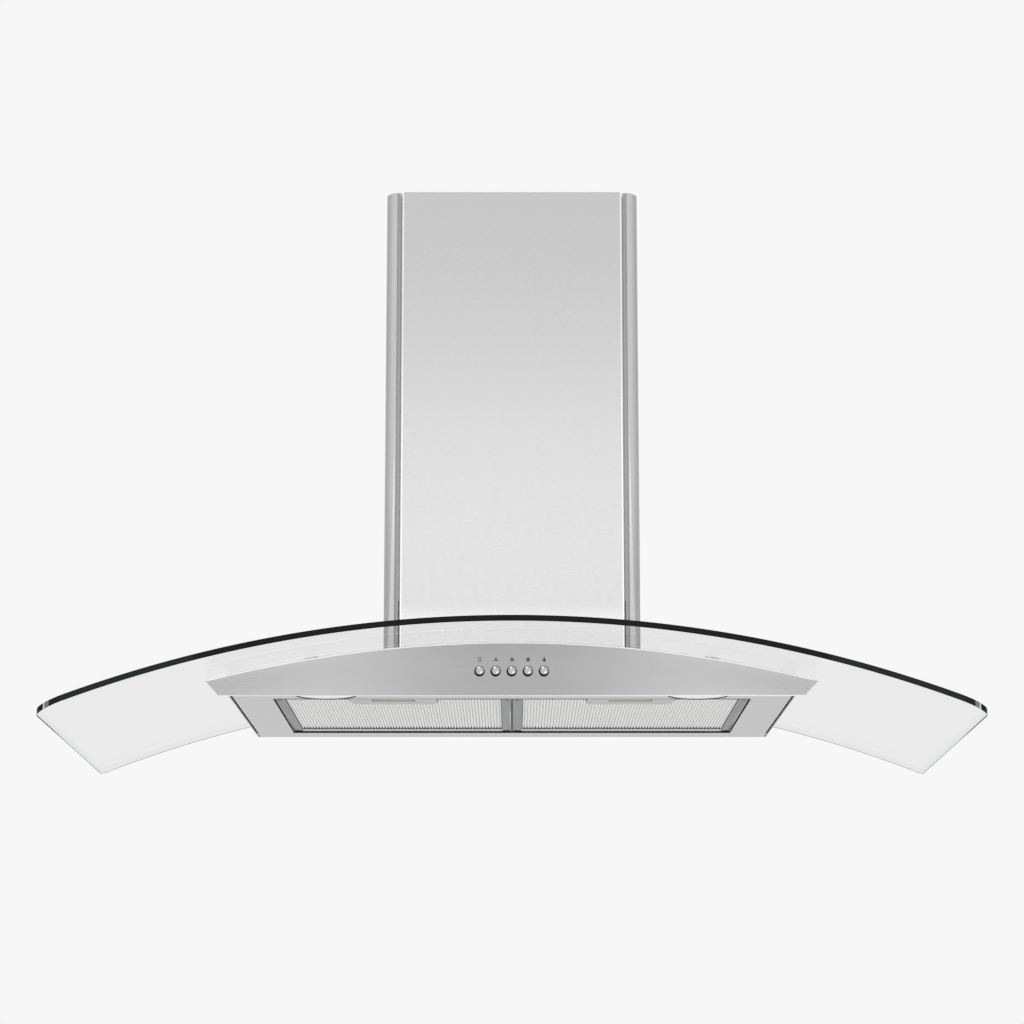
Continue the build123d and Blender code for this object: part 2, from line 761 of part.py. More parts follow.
def latch_springs(side):
    """Two buffer springs behind the latch, each as the rod that its coils fill."""
    back = latch_back - latch_wall
    front = latch_slider_front + latch_slider_depth + latch_travel + latch_stop_gap
    radius = latch_slider_thickness / 2
    pieces = []
    for place in (-1, 1):
        x = filter_x(side, place * latch_slider_width / 4)
        pieces.append(rod_y(radius, x, front, back, latch_slider_bottom + radius))
    return Compound(children=pieces)


# ---- Fan box and blower ----
def fan_box_screw_places():
    """Screws through the body's top sheet into the fan box's bottom flange."""
    inset = fan_box_flange / 2 + fan_box_sheet
    for side in (-1, 1):
        yield side * box_half / 2, -(fan_box_reach - inset)
        yield side * box_half / 2, -(fan_box_standoff + inset)


def fan_box_edges():
    """Front, back and top of the foot rim, which follows the body's arched top."""
    return -fan_box_reach, -fan_box_standoff, gasket_thickness - touch_gap - fan_box_sheet


def fan_box():
    """Four upright walls that stand on the foot rim."""
    front, back, foot = fan_box_edges()
    wall = fan_box_sheet
    high = fan_box_top - wall
    walls = block(-box_half, box_half, front, back, 0, high)
    walls -= block(-box_inner, box_inner, front + wall, back - wall, -cut, high + cut)
    walls -= under_glass(foot)
    hole = screw_radius + hole_clearance
    for x in (-wall_hole_spacing_x / 4, wall_hole_spacing_x / 4):
        walls -= rod_y(hole, x, back - wall - cut, back + cut, wall_bracket_middle)
    for side in (-1, 1):
        for y in foot_screw_places():
            walls -= rod_x(hole, side * (box_inner - cut), side * (box_half + cut), y,
                           foot_screw_height())
    return walls


def fan_box_rim():
    """Foot rim that is screwed to the body's top sheet."""
    front, back, foot = fan_box_edges()
    wide = fan_box_flange
    rim = block(-box_half, box_half, front, back, 0, above_all)
    rim = (rim & under_glass(foot)) - under_glass(foot + fan_box_sheet)
    rim -= block(-box_half + wide, box_half - wide, front + wide, back - wide, -cut, above_all)
    for x, y in fan_box_screw_places():
        rim -= rod(screw_radius + hole_clearance, x, y, 4 * sheet, above_all)
    return rim


def fan_box_lid():
    """Top sheet with the openings for the air, the screws and the wires."""
    front, back, _ = fan_box_edges()
    low = fan_box_top - fan_box_sheet
    lid = block(-box_half, box_half, front, back, low, fan_box_top)
    low -= cut
    high = fan_box_top + cut
    lid -= block(*scroll_outlet(), low, high)
    for x, y in [capacitor_place(), *collar_screw_places()]:
        lid -= rod(screw_radius + hole_clearance, x, y, low, high)
    lid -= rod(gland_neck_radius + running_clearance, gland_x, terminal_y, low, high)
    lid -= rod(wire_hole_radius, terminal_box_offset, terminal_y, low, high)
    return lid


def fan_box_screws():
    pieces = []
    for x, y in fan_box_screw_places():
        lean = math.radians(glass_tilt) * screw_head_radius
        side_lean = abs(x) / glass_radius * screw_head_radius
        top_sheet = skin_height(x, y) - gasket_thickness - sheet
        seat = top_sheet - lean - side_lean - flat_gap
        screw = rod(screw_head_radius, x, y, seat - screw_head_height, seat)
        screw += rod(screw_radius, x, y, seat - screw_head_height / 2, seat + screw_length)
        pieces.append(screw)
    return Compound(children=pieces)


def scroll_outlet():
    """X and Y limits of the blower's outlet, inside its walls."""
    half = scroll_half - scroll_wall
    back = blower_y + impeller_radius + scroll_gap + 3 * scroll_growth - scroll_wall
    return -half, half, blower_y + scroll_cutoff + scroll_wall, back


def scroll_outline():
    """The scroll seen along its axis, drawn with X for the hood's Y, from the axis."""
    radii = [impeller_radius + scroll_gap + i * scroll_growth for i in range(4)]
    up = scroll_top - blower_height

    def polar(radius, degrees):
        turn = math.radians(degrees)
        return radius * math.cos(turn), radius * math.sin(turn)

    points = [polar(radii[i], 90 + 90 * i) for i in range(4)]
    mids = [polar((radii[i] + radii[i + 1]) / 2, 135 + 90 * i) for i in range(3)]
    edges = [ThreePointArc(points[i], mids[i], points[i + 1]) for i in range(3)]
    back = points[3][0]
    edges.append(Polyline(points[3], (back, up), (scroll_cutoff, up),
                          (scroll_cutoff, radii[0]), points[0]))
    return make_face(edges)


def across_x(face, x0, x1):
    """Extrudes a face drawn in Y and Z from the blower's axis, between two X values."""
    plane = Plane(origin=(x0, blower_y, blower_height), x_dir=(0, 1, 0), z_dir=(1, 0, 0))
    return extrude(plane * face, x1 - x0)


def scroll_ring(x0, x1):
    """Raised inlet lip on a side of the scroll."""
    ring = rod_x(impeller_bore_radius + scroll_lip_width, x0, x1, blower_y, blower_height)
    return ring - rod_x(impeller_bore_radius, x0 - cut, x1 + cut, blower_y, blower_height)


def blower_scroll():
    outline = scroll_outline()
    inside = offset(outline, amount=-scroll_wall)
    split = scroll_half - scroll_wall
    scroll = across_x(outline, -scroll_half, split)
    scroll -= across_x(inside, -split, split + cut)
    scroll -= rod_x(impeller_bore_radius, -scroll_half - cut, -split + cut, blower_y,
                    blower_height)
    scroll += scroll_ring(-scroll_half - scroll_left_lip, -scroll_half)
    x0, x1, y0, y1 = scroll_outlet()
    rim = scroll_flange
    scroll += block(x0 - rim, x1, y0 - rim, y1 + rim, scroll_top - scroll_flange_thickness,
                    scroll_top - flat_gap)
    scroll -= block(x0, x1 + cut, y0, y1, scroll_top - 3 * scroll_wall, scroll_top + cut)
    return scroll


def blower_side_plate():
    """The scroll's right wall, which carries the motor."""
    outline = scroll_outline()
    inner = scroll_half - scroll_wall
    plate = across_x(outline, inner + flat_gap, scroll_half)
    ceiling = scroll_top - scroll_flange_thickness - flat_gap
    plate = plate & block(0, scroll_half + cut, -glass_reach, 0, 0, ceiling)
    plate -= rod_x(impeller_bore_radius, inner - cut, scroll_half + cut, blower_y,
                   blower_height)
    plate += scroll_ring(scroll_half, scroll_half + scroll_right_lip)
    return plate


def impeller():
    """The fan wheel's middle disc with its hub."""
    half = impeller_disc / 2
    wheel = rod_x(impeller_radius - impeller_rim, -half, half, blower_y, blower_height)
    hub = impeller_hub_length / 2
    wheel += rod_x(impeller_hub_radius, -hub, hub, blower_y, blower_height)
    wheel -= rod_x(shaft_radius, -hub - cut, hub + cut, blower_y, blower_height)
    return wheel


def impeller_blades():
    """Curved strips, a set on each side of the middle disc."""
    start = (impeller_bore_radius + impeller_rim, 0)
    bulge = ((impeller_radius + impeller_bore_radius) / 2, blade_bulge)
    end = (impeller_radius - impeller_rim, -blade_sweep)
    strip = trace(ThreePointArc(start, bulge, end), blade_thickness)
    inner = impeller_disc / 2
    outer = impeller_width / 2 - impeller_ring_thickness
    pieces = []
    for blade in PolarLocations(0, blade_count) * strip:
        pieces.append(across_x(blade, -outer, -inner))
        pieces.append(across_x(blade, inner, outer))
    return Compound(children=pieces)


def impeller_rings():
    """Hoops that hold the blades' outer ends."""
    outer = impeller_width / 2
    inner = outer - impeller_ring_thickness
    pieces = []
    for side in (-1, 1):
        ring = rod_x(impeller_radius, side * inner, side * outer, blower_y, blower_height)
        ring -= rod_x(impeller_radius - impeller_ring_width, side * (inner - cut),
                      side * (outer + cut), blower_y, blower_height)
        pieces.append(ring)
    return Compound(children=pieces)


def fan_motor():
    start = motor_start
    end = motor_start + motor_length
    motor = rod_x(motor_radius, start + motor_inner_step, end - motor_outer_step, blower_y,
                  blower_height)
    motor += rod_x(motor_end_radius, start, end, blower_y, blower_height)
    motor -= rod_x(shaft_radius + shaft_clearance, start - cut, end + cut, blower_y,
                   blower_height)
    return motor


def motor_shaft():
    hub = impeller_hub_length / 2
    end = motor_start + motor_length + shaft_end
    return rod_x(shaft_radius, -hub, end, blower_y, blower_height)


def motor_bracket():
    """Three arms from the motor to the rim of the scroll's inlet."""
    x0 = scroll_half + scroll_right_lip + flat_gap
    x1 = x0 + motor_arm_thickness
    reach = impeller_bore_radius + motor_arm_overlap
    ring = rod_x(motor_radius + motor_clamp_width, x0, x1, blower_y, blower_height)
    arm = Pos(reach / 2, 0) * Rectangle(reach, motor_arm_width)
    arms = PolarLocations(0, 3, start_angle=90) * arm
    ring += across_x(Sketch() + arms, x0, x1)
    ring -= rod_x(motor_radius + flat_gap, x0 - cut, x1 + cut, blower_y, blower_height)
    return ring


def capacitor_place():
    return -capacitor_side, -(fan_box_reach - capacitor_inset)


def capacitor():
    x, y = capacitor_place()
    top = fan_box_top - fan_box_sheet - flat_gap
    can = rod(capacitor_radius, x, y, top - capacitor_length, top)
    can = fillet(can.edges().group_by(Axis.Z)[0], capacitor_round)
    can += rod(screw_radius, x, y, top - cut, fan_box_top + 1.5 * nut_thickness)
    return can


def capacitor_nut():
    x, y = capacitor_place()
    nut = hexagon(nut_flats, nut_thickness)
    nut -= Cylinder(screw_radius + thread_gap, 2 * nut_thickness)
    return Pos(x, y, fan_box_top + nut_thickness / 2) * nut


# ---- Duct collar and damper ----
def outlet_collar():
    half = collar_base_width / 2
    y0 = duct_y - half
    y1 = duct_y + half
    wall = duct_wall
    rim = collar_base_flange
    collar = block(-half, half, y0, y1, collar_bottom, collar_floor)
    collar += block(-half - rim, half + rim, y0 - rim, y1, collar_bottom,
                    collar_bottom + wall)
    collar += rod(duct_radius, 0, duct_y, collar_floor - wall, collar_floor + duct_length)
    collar -= rod(duct_inner_radius, 0, duct_y, collar_bottom + cut,
                  collar_floor + duct_length + cut)
    collar -= block(-half + wall, half - wall, y0 + wall, y1 - wall, collar_bottom - cut,
                    collar_floor - wall)
    for side in (-1, 1):
        collar -= rod_y(damper_pin_radius, side * damper_pin_offset, duct_y - 2 * duct_radius,
                        duct_y + 2 * duct_radius, collar_floor + damper_pin_height)
    for x, y in collar_screw_places():
        collar -= rod(screw_radius + hole_clearance, x, y, collar_bottom - cut,
                      collar_bottom + wall + cut)
    return collar


def collar_screw_places():
    reach = collar_base_width / 2 + collar_base_flange / 2
    for side in (-1, 1):
        for end in (-1, 1):
            yield side * reach, duct_y + end * collar_screw_spacing / 2


def collar_screws():
    pieces = []
    seat = collar_bottom + duct_wall
    for x, y in collar_screw_places():
        screw = rod(screw_head_radius, x, y, seat, seat + screw_head_height)
        screw += rod(screw_radius, x, y, seat - screw_length, seat + screw_head_height / 2)
        pieces.append(screw)
    return Compound(children=pieces)


def damper_pins():
    """Pins that end just inside the duct collar's outer face."""
    z = collar_floor + damper_pin_height
    corner = damper_pin_offset + damper_pin_radius
    reach = math.sqrt(duct_radius**2 - corner**2) - flat_gap
    pieces = []
    for side in (-1, 1):
        pieces.append(rod_y(damper_pin_radius, side * damper_pin_offset, duct_y - reach,
                            duct_y + reach, z))
    return Compound(children=pieces)


def damper_flap(side):
    """Half disc that swings up on its pin when air flows out."""
    z = collar_floor + damper_pin_height
    radius = duct_inner_radius - damper_gap
    half = damper_thickness / 2
    flap = rod(radius, 0, duct_y, z - half, z + half)
    flap = flap & block(side * damper_pin_offset, side * duct_radius, duct_y - duct_radius,
                        duct_y + duct_radius, z - damper_thickness, z + damper_thickness)
    length = math.sqrt(radius**2 - damper_pin_offset**2) - damper_end_gap
    x = side * damper_pin_offset
    flap += rod_y(damper_knuckle_radius, x, duct_y - length, duct_y + length, z)
    flap -= rod_y(damper_pin_radius + running_clearance, x, duct_y - 2 * length,
                  duct_y + 2 * length, z)
    return flap


# ---- Electrical box ----
def terminal_box():
    y0 = terminal_y - terminal_box_depth / 2
    y1 = terminal_y + terminal_box_depth / 2
    z0 = fan_box_top
    z1 = fan_box_top + terminal_box_height
    wall = terminal_box_wall
    box = block(terminal_left, terminal_right, y0, y1, z0, z1)
    box -= block(terminal_left + wall, terminal_right - wall, y0 + wall, y1 - wall,
                 z0 + wall, z1 + cut)
    box -= rod(wire_hole_radius, terminal_box_offset, terminal_y, z0 - cut, z0 + wall + cut)
    return box


def terminal_box_lid():
    y0 = terminal_y - terminal_box_depth / 2
    y1 = terminal_y + terminal_box_depth / 2
    z0 = fan_box_top + terminal_box_height
    z1 = z0 + terminal_lid_thickness
    inset = terminal_box_wall + terminal_lid_gap
    lid = block(terminal_left, terminal_right, y0, y1, z0, z1)
    lid += block(terminal_left + inset, terminal_right - inset, y0 + inset, y1 - inset,
                 z0 - terminal_lid_step, z1 - terminal_lid_thickness / 2)
    return fillet(lid.edges().group_by(Axis.Z)[-1], terminal_lid_thickness / 2.5)


def cable_gland():
    """Inlet for the mains cord: threaded neck, nut and dome with its clamping bore."""
    nut = gland_nut_thickness
    gland = Pos(0, 0, nut / 2) * hexagon(gland_nut_flats, nut)
    dome = Cone(gland_radius, gland_top_radius, gland_length - nut)
    gland += Pos(0, 0, (gland_length + nut) / 2) * dome
    neck = fan_box_sheet + gland_neck_length
    gland += Pos(0, 0, -neck / 2) * Cylinder(gland_neck_radius, neck)
    gland -= Cylinder(gland_bore_radius, 4 * gland_length)
    return Pos(gland_x, terminal_y, fan_box_top) * gland


# ---- Chimney ----
def chimney_cut():
    """Everything at or below the glass's top skin, with the chimney's clearance."""
    return under_glass(-(glass_thickness + chimney_glass_gap))


def bent_sheet(path, radius, z0, z1, thickness):
    """An upright sheet folded along a path in plan, drawn on the sheet's middle line."""
    line = FilletPolyline(*path, radius=radius)
    profile = trace(line, thickness)
    return extrude(Plane.XY.offset(z0) * profile, z1 - z0)


def chimney_side(side):
    t = chimney_sheet / 2
    x = side * (chimney_half - t)
    joint = side * (panel_joint_x + t)
    path = [
        (joint, -chimney_reach + t + chimney_return),
        (joint, -chimney_reach + t),
        (x, -chimney_reach + t),
        (x, -t),
        (x - side * chimney_rear_flange, -t),
    ]
    corner = chimney_strip_width - t - chimney_strip_flat
    radii = [chimney_fold, corner, chimney_fold]
    piece = bent_sheet(path, radii, 0, chimney_top, chimney_sheet)
    piece -= chimney_cut()
    for y in foot_screw_places():
        piece -= rod_x(screw_radius + hole_clearance, side * (chimney_inner - cut),
                       side * (chimney_half + cut), y, foot_screw_height())
    return piece


def chimney_front_panel():
    t = chimney_sheet / 2
    x = panel_joint_x - t - chimney_panel_joint
    path = [
        (-x, -chimney_reach + t + chimney_return),
        (-x, -chimney_reach + t),
        (x, -chimney_reach + t),
        (x, -chimney_reach + t + chimney_return),
    ]
    panel = bent_sheet(path, chimney_fold, 0, chimney_top, chimney_sheet)
    return panel - chimney_cut()


def upper_chimney():
    t = chimney_sheet / 2
    x = upper_half - t
    front = upper_front + t
    back = upper_back - t
    path = [
        (-x + chimney_rear_flange, back),
        (-x, back),
        (-x, front),
        (x, front),
        (x, back),
        (x - chimney_rear_flange, back),
    ]
    fold = upper_chimney_fold
    radii = [fold, upper_chimney_corner, upper_chimney_corner, fold]
    top = chimney_top - upper_chimney_sink
    return bent_sheet(path, radii, upper_chimney_bottom, top, chimney_sheet)


def foot_screw_height():
    return foot_bracket_bottom + foot_screw_rise


def foot_screw_places():
    middle = -chimney_reach / 2
    return middle - foot_bracket_length / 4, middle + foot_bracket_length / 4


def chimney_foot_brackets():
    """Channels that tie the chimney's foot to the fan box."""
    pieces = []
    middle = -chimney_reach / 2
    y0 = middle - foot_bracket_length / 2
    y1 = middle + foot_bracket_length / 2
    low = foot_bracket_bottom
    high = low + foot_bracket_height
    for side in (-1, 1):
        channel = block(side * box_half, side * chimney_inner, y0, y1, low, high)
        channel -= block(side * (box_half + sheet), side * (chimney_inner - sheet),
                         y0 - cut, y1 + cut, low + sheet, high + cut)
        for y in foot_screw_places():
            channel -= rod_x(screw_radius + thread_gap, side * (box_half - cut),
                             side * (chimney_inner + cut), y, foot_screw_height())
        pieces.append(channel)
    return Compound(children=pieces)


def chimney_screws():
    """Pan-head screws through the chimney's sides into the foot channels."""
    pieces = []
    for side in (-1, 1):
        for y in foot_screw_places():
            z = foot_screw_height()
            tip = side * (chimney_inner - sheet - foot_screw_tip)
            screw = rod_x(screw_radius, side * chimney_half, tip, y, z)
            screw += rod_x(screw_head_radius, side * chimney_half,
                           side * (chimney_half + screw_head_height), y, z)
            pieces.append(screw)
    return Compound(children=pieces)


# ---- Wall fixing ----
def wall_bracket():
    """Plate on the wall behind the fan box, with four screw holes and two spacers."""
    half = wall_bracket_width / 2
    low = wall_bracket_middle - wall_bracket_height / 2
    high = wall_bracket_middle + wall_bracket_height / 2
    plate = block(-half, half, -wall_bracket_thickness, 0, low, high)
    for x in (-wall_hole_spacing_x / 4, wall_hole_spacing_x / 4):
        plate += rod_y(spacer_radius, x, -fan_box_standoff, -wall_bracket_thickness / 2,
                       wall_bracket_middle)
        plate -= rod_y(screw_radius + hole_clearance, x, -fan_box_standoff - cut, cut,
                       wall_bracket_middle)
    for side in (-1, 1):
        for up in (-1, 1):
            x = side * wall_hole_spacing_x / 2
            z = wall_bracket_middle + up * wall_hole_spacing_z / 2
            plate -= rod_y(wall_hole_radius, x, -fan_box_standoff, cut, z)
    return plate


nodes = {
    "glass_canopy": glass_canopy(),
    "glass_gasket": glass_gasket(),
    "glass_screws": glass_screws(),
    "glass_washers": glass_washers(),
    "hood_body": hood_body(),
    "underside_panel": underside_panel(),
    "control_fascia": control_fascia(),
    "fascia_nuts": fascia_nuts(),
    "button_guides": button_guides(),
    "switch_block": switch_block(),
    "fan_box": fan_box(),
    "fan_box_rim": fan_box_rim(),
    "fan_box_lid": fan_box_lid(),
    "fan_box_screws": fan_box_screws(),
    "blower_scroll": blower_scroll(),
    "blower_side_plate": blower_side_plate(),
    "impeller": impeller(),
    "impeller_blades": impeller_blades(),
    "impeller_rings": impeller_rings(),
    "motor_shaft": motor_shaft(),
    "fan_motor": fan_motor(),
    "motor_bracket": motor_bracket(),
    "capacitor": capacitor(),
    "capacitor_nut": capacitor_nut(),
    "outlet_collar": outlet_collar(),
    "collar_screws": collar_screws(),
    "damper_pins": damper_pins(),
    "terminal_box": terminal_box(),
    "terminal_box_lid": terminal_box_lid(),
    "cable_gland": cable_gland(),
    "chimney_front_panel": chimney_front_panel(),
    "upper_chimney": upper_chimney(),
    "chimney_foot_brackets": chimney_foot_brackets(),
    "chimney_screws": chimney_screws(),
    "wall_bracket": wall_bracket(),
}
button_names = ["off_button", "low_speed_button", "middle_speed_button", "high_speed_button",
                "lamp_button"]
for name, place in zip(button_names, button_places()):
    nodes[name] = push_button(place)
for side, hand in ((-1, "left"), (1, "right")):
    nodes[f"{hand}_lamp_bezel"] = lamp_bezel(side)
    nodes[f"{hand}_lamp_lens"] = lamp_lens(side)
    nodes[f"{hand}_lamp_cup"] = lamp_cup(side)
    nodes[f"{hand}_filter_frame"] = filter_frame(side)
    nodes[f"{hand}_filter_mesh"] = filter_mesh(side)
    nodes[f"{hand}_latch_housing"] = latch_housing(side)
    nodes[f"{hand}_filter_latch"] = filter_latch(side)
    nodes[f"{hand}_latch_springs"] = latch_springs(side)
    nodes[f"{hand}_damper_flap"] = damper_flap(side)
    nodes[f"{hand}_chimney_side"] = chimney_side(side)

os.makedirs("parts", exist_ok=True)
for name, shape in nodes.items():
    export_step(shape, f"parts/{name}.step")
print(len(nodes), "nodes")
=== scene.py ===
# %% [markdown]
# # A range hood with a curved glass canopy
# This lesson dresses the solids of a wall hood: a pane of arched glass over a shallow steel body,
# two mesh filters, five push buttons, two lamps and a square chimney. Each step first says what
# the piece is on the real hood, then how it could be made and why this way was chosen. Sizes on
# the hood are in millimetres and are turned to metres by one factor. The camera, the lamps and the
# floor are placed in metres.

# %% Load the solids
import json
import math

import bmesh
import bpy
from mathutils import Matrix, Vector


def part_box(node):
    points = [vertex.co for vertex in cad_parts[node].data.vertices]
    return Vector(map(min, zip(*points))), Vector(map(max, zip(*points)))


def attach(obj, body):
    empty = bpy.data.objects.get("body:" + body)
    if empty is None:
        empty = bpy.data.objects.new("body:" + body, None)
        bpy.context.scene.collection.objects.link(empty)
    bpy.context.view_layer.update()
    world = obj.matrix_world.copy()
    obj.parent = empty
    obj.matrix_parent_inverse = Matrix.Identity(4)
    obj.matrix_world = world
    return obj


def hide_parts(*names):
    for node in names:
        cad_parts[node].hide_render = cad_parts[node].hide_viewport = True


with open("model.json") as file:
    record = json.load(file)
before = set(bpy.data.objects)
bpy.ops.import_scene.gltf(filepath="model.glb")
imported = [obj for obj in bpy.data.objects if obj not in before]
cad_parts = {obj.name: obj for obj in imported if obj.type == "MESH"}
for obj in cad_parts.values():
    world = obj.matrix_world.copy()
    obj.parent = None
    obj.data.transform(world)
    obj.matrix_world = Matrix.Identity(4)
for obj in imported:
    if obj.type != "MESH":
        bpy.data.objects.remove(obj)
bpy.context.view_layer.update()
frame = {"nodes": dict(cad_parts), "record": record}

MM = 0.001
nodes = frame["nodes"]

# %% [markdown]
# ## The camera
# The photograph looks up at the hood from below and in front, with a long lens, so that both
# sides of the chimney stay nearly upright. A long lens far away gives the same weak perspective.
# The place was worked out from the corners of the glass, the body and the chimney.

# %% Camera
CAMERA_PLACE = (0.0, -3.195, -0.3816)
CAMERA_PITCH = 11.26  # degrees above level
CAMERA_LENS = 101.6  # on a sensor 36 mm wide

camera_data = bpy.data.cameras.new("camera")
camera_data.lens = CAMERA_LENS
camera_data.sensor_width = 36.0
camera = bpy.data.objects.new("camera", camera_data)
camera.location = CAMERA_PLACE
camera.rotation_euler = (math.radians(90 + CAMERA_PITCH), 0, 0)
bpy.context.scene.collection.objects.link(camera)
bpy.context.scene.camera = camera
print("camera at", tuple(camera.location))

# %% [markdown]
# ## Colours and shader nodes
# Colours are written as they look on a screen, so one function turns them to the linear values
# that shaders expect. The others each add one kind of shader node and give its output, so that
# every material below stays short.

# %% Colour and node helpers
def linear(code, factor=1.0):
    """Linear colour of an sRGB hex code, made darker by a factor below 1."""
    parts = [int(code[i:i + 2], 16) / 255 for i in (0, 2, 4)]
    flat = [p / 12.92 if p <= 0.04045 else ((p + 0.055) / 1.055) ** 2.4 for p in parts]
    return (*[factor * p for p in flat], 1.0)


def add_node(tree, kind, inputs=None, **settings):
    """Add a shader node; each input takes a value or another node's output."""
    made = tree.nodes.new("ShaderNode" + kind)
    for name, value in settings.items():
        setattr(made, name, value)
    for name, value in (inputs or {}).items():
        if isinstance(value, bpy.types.NodeSocket):
            tree.links.new(value, made.inputs[name])
        else:
            made.inputs[name].default_value = value
    return made


def math_node(tree, operation, first, second=0.0):
    return add_node(tree, "Math", {0: first, 1: second}, operation=operation).outputs[0]


def mix(tree, factor, first, second, blend="MIX"):
    """A colour from the first to the second by a factor from 0 to 1."""
    return add_node(tree, "Mix", {0: factor, 6: first, 7: second}, data_type="RGBA",
                    blend_type=blend).outputs[2]


def remap(tree, value, low, high, start=0.0, end=1.0, shape="LINEAR"):
    """A value that runs from start to end, turned to one that runs from low to high."""
    return add_node(tree, "MapRange", {0: value, 1: start, 2: end, 3: low, 4: high},
                    interpolation_type=shape).outputs[0]


def noise(tree, scale, **inputs):
    """Noise on the object's own coordinates."""
    place = add_node(tree, "TexCoord").outputs["Object"]
    return add_node(tree, "TexNoise", {"Vector": place, "Scale": scale, **inputs}).outputs[0]


def bump(tree, height, strength, distance):
    return add_node(tree, "Bump", {"Strength": strength, "Distance": distance,
                                   "Height": height}).outputs[0]


def feed(node, **outputs):
    """Link outputs to a node's inputs, with _ for the spaces in their names."""
    for name, output in outputs.items():
        node.id_data.links.new(output, node.inputs[name.replace("_", " ")])


def new_material(name, colour, roughness, **sockets):
    """A material with one Principled shader, its node tree and the shader."""
    material = bpy.data.materials.new(name)
    material.use_nodes = True
    shader = material.node_tree.nodes["Principled BSDF"]
    shader.inputs["Base Color"].default_value = linear(colour)
    shader.inputs["Roughness"].default_value = roughness
    for socket, value in sockets.items():
        shader.inputs[socket.replace("_", " ")].default_value = value
    return material, material.node_tree, shader


def blend_surfaces(tree, share, first, second):
    """Show a share of the second shader over the first."""
    mixed = add_node(tree, "MixShader", {0: share, 1: first.outputs[0], 2: second.outputs[0]})
    feed(tree.nodes["Material Output"], Surface=mixed.outputs[0])


# %% [markdown]
# ## The studio
# The photograph is cut out on very pale grey. The sky of the scene has that colour for the eye
# and for every mirror or glass, while it lights dull surfaces a little less. A pale floor well
# below the hood catches a soft shadow in views from above, and is as pale as the sky in mirrors.

# %% Sky
BACKGROUND = linear("F7F7F7")
AMBIENT = linear("C9CBCD")


def seen_directly(tree):
    """1 for rays from a mirror or glass, and 1 for those and the camera's; 0 for all others."""
    path = add_node(tree, "LightPath").outputs
    mirror = math_node(tree, "MAXIMUM", path["Is Glossy Ray"], path["Is Transmission Ray"])
    return mirror, math_node(tree, "MAXIMUM", mirror, path["Is Camera Ray"])


world = bpy.data.worlds.new("studio")
world.use_nodes = True
scene = bpy.context.scene
scene.world = world
scene.view_settings.view_transform = "Standard"
sky = world.node_tree
sky.nodes.clear()
mirror, seen = seen_directly(sky)
glow = add_node(sky, "Background", {"Color": mix(sky, seen, AMBIENT, BACKGROUND),
                                    "Strength": 1.0})
add_node(sky, "OutputWorld", {"Surface": glow.outputs[0]})

# %% Floor
FLOOR_LEVEL = -0.75
FLOOR_SIZE = 12

bpy.ops.mesh.primitive_plane_add(size=FLOOR_SIZE, location=(0, 0, FLOOR_LEVEL))
floor = bpy.context.object
floor.name = "floor"
painted, tree, shader = new_material("pale_floor_paint", "EDEDEE", 0.7)
feed(shader, Roughness=remap(tree, noise(tree, 3.0, Detail=4.0), 0.68, 0.74))
mirror, seen = seen_directly(tree)
pale = add_node(tree, "Emission", {"Color": BACKGROUND, "Strength": 1.0})
blend_surfaces(tree, mirror, shader, pale)
floor.data.materials.append(painted)
print("sky and floor ready, floor at", FLOOR_LEVEL)

# %% [markdown]
# ## Lamps of the studio
# The sky lights all sides evenly. Three wide soft lamps add shape: one in front, one high on the
# left, and a weak one below for the underside. Small lamps would throw hard shadows.

# %% Lamps
def soft_lamp(name, place, aim, width, height, power):
    """A rectangular lamp at a place, turned towards a point."""
    data = bpy.data.lights.new(name, "AREA")
    data.shape = "RECTANGLE"
    data.size = width
    data.size_y = height
    data.energy = power
    lamp = bpy.data.objects.new(name, data)
    lamp.location = place
    lamp.rotation_euler = (Vector(aim) - Vector(place)).to_track_quat("-Z", "Y").to_euler()
    scene.collection.objects.link(lamp)
    return lamp


near_lamp = soft_lamp("near_lamp", (0, -1.5, 0.36), (0, 0, 0.36), 1.7, 0.56, 1.6)
soft_lamp("upper_lamp", (-1.0, -1.2, 3.0), (0, -0.2, 0.2), 1.8, 1.8, 22)
low_lamp = soft_lamp("low_lamp", (0.8, -1.4, -0.7), (0.8, -1.4, 1.0), 1.6, 1.0, 6)
for lamp in (near_lamp, low_lamp):
    lamp.visible_camera = False

# %% [markdown]
# ## Materials of the metal parts
# The visible sheet is stainless steel, brushed with a fine belt so that long parallel scratches
# catch the light. One function makes every brushed metal: streaks come from noise that is squeezed
# across the brushing direction. The control panel is brushed lengthwise with a coarser belt, and
# its darker colour is painted shade. The chimney was polished and then brushed lightly across, so
# its grain is short, fine and faint. Returns and inner faces of the corner pieces get a dull mill
# grey, made darker as painted shade, and the folds get a near-white copy of the steel as a painted
# highlight.

# %% Brushed metals
def streaks(tree, along, across_mm, length_mm):
    """Noise in long streaks; along is the axis that the scratches follow."""
    scale = [1000 / across_mm] * 3
    scale["XYZ".index(along)] = 1000 / length_mm
    place = add_node(tree, "TexCoord").outputs["Object"]
    stretch = add_node(tree, "Mapping", {"Vector": place, "Scale": scale})
    return add_node(tree, "TexNoise", {"Vector": stretch.outputs[0], "Scale": 1.0, "Detail": 3.0,
                                       "Roughness": 0.6}).outputs[0]


def brushed_metal(name, colour, along, roughness, across_mm=1.4, length_mm=90, depth=0.06,
                  contrast=0.07):
    """Brushed sheet: scratches about 0.2 mm apart are drawn 1.4 mm apart so that they show."""
    material, tree, shader = new_material(name, colour, roughness, Metallic=1.0)
    lines = streaks(tree, along, across_mm, length_mm)
    tint = mix(tree, lines, linear(colour, 1 - contrast), linear(colour))
    tint.node.name = "tone"
    feed(shader, Base_Color=tint, Normal=bump(tree, lines, depth, 0.0004),
         Roughness=remap(tree, lines, roughness - 0.05, roughness + 0.07, 0.3, 0.7))
    return material


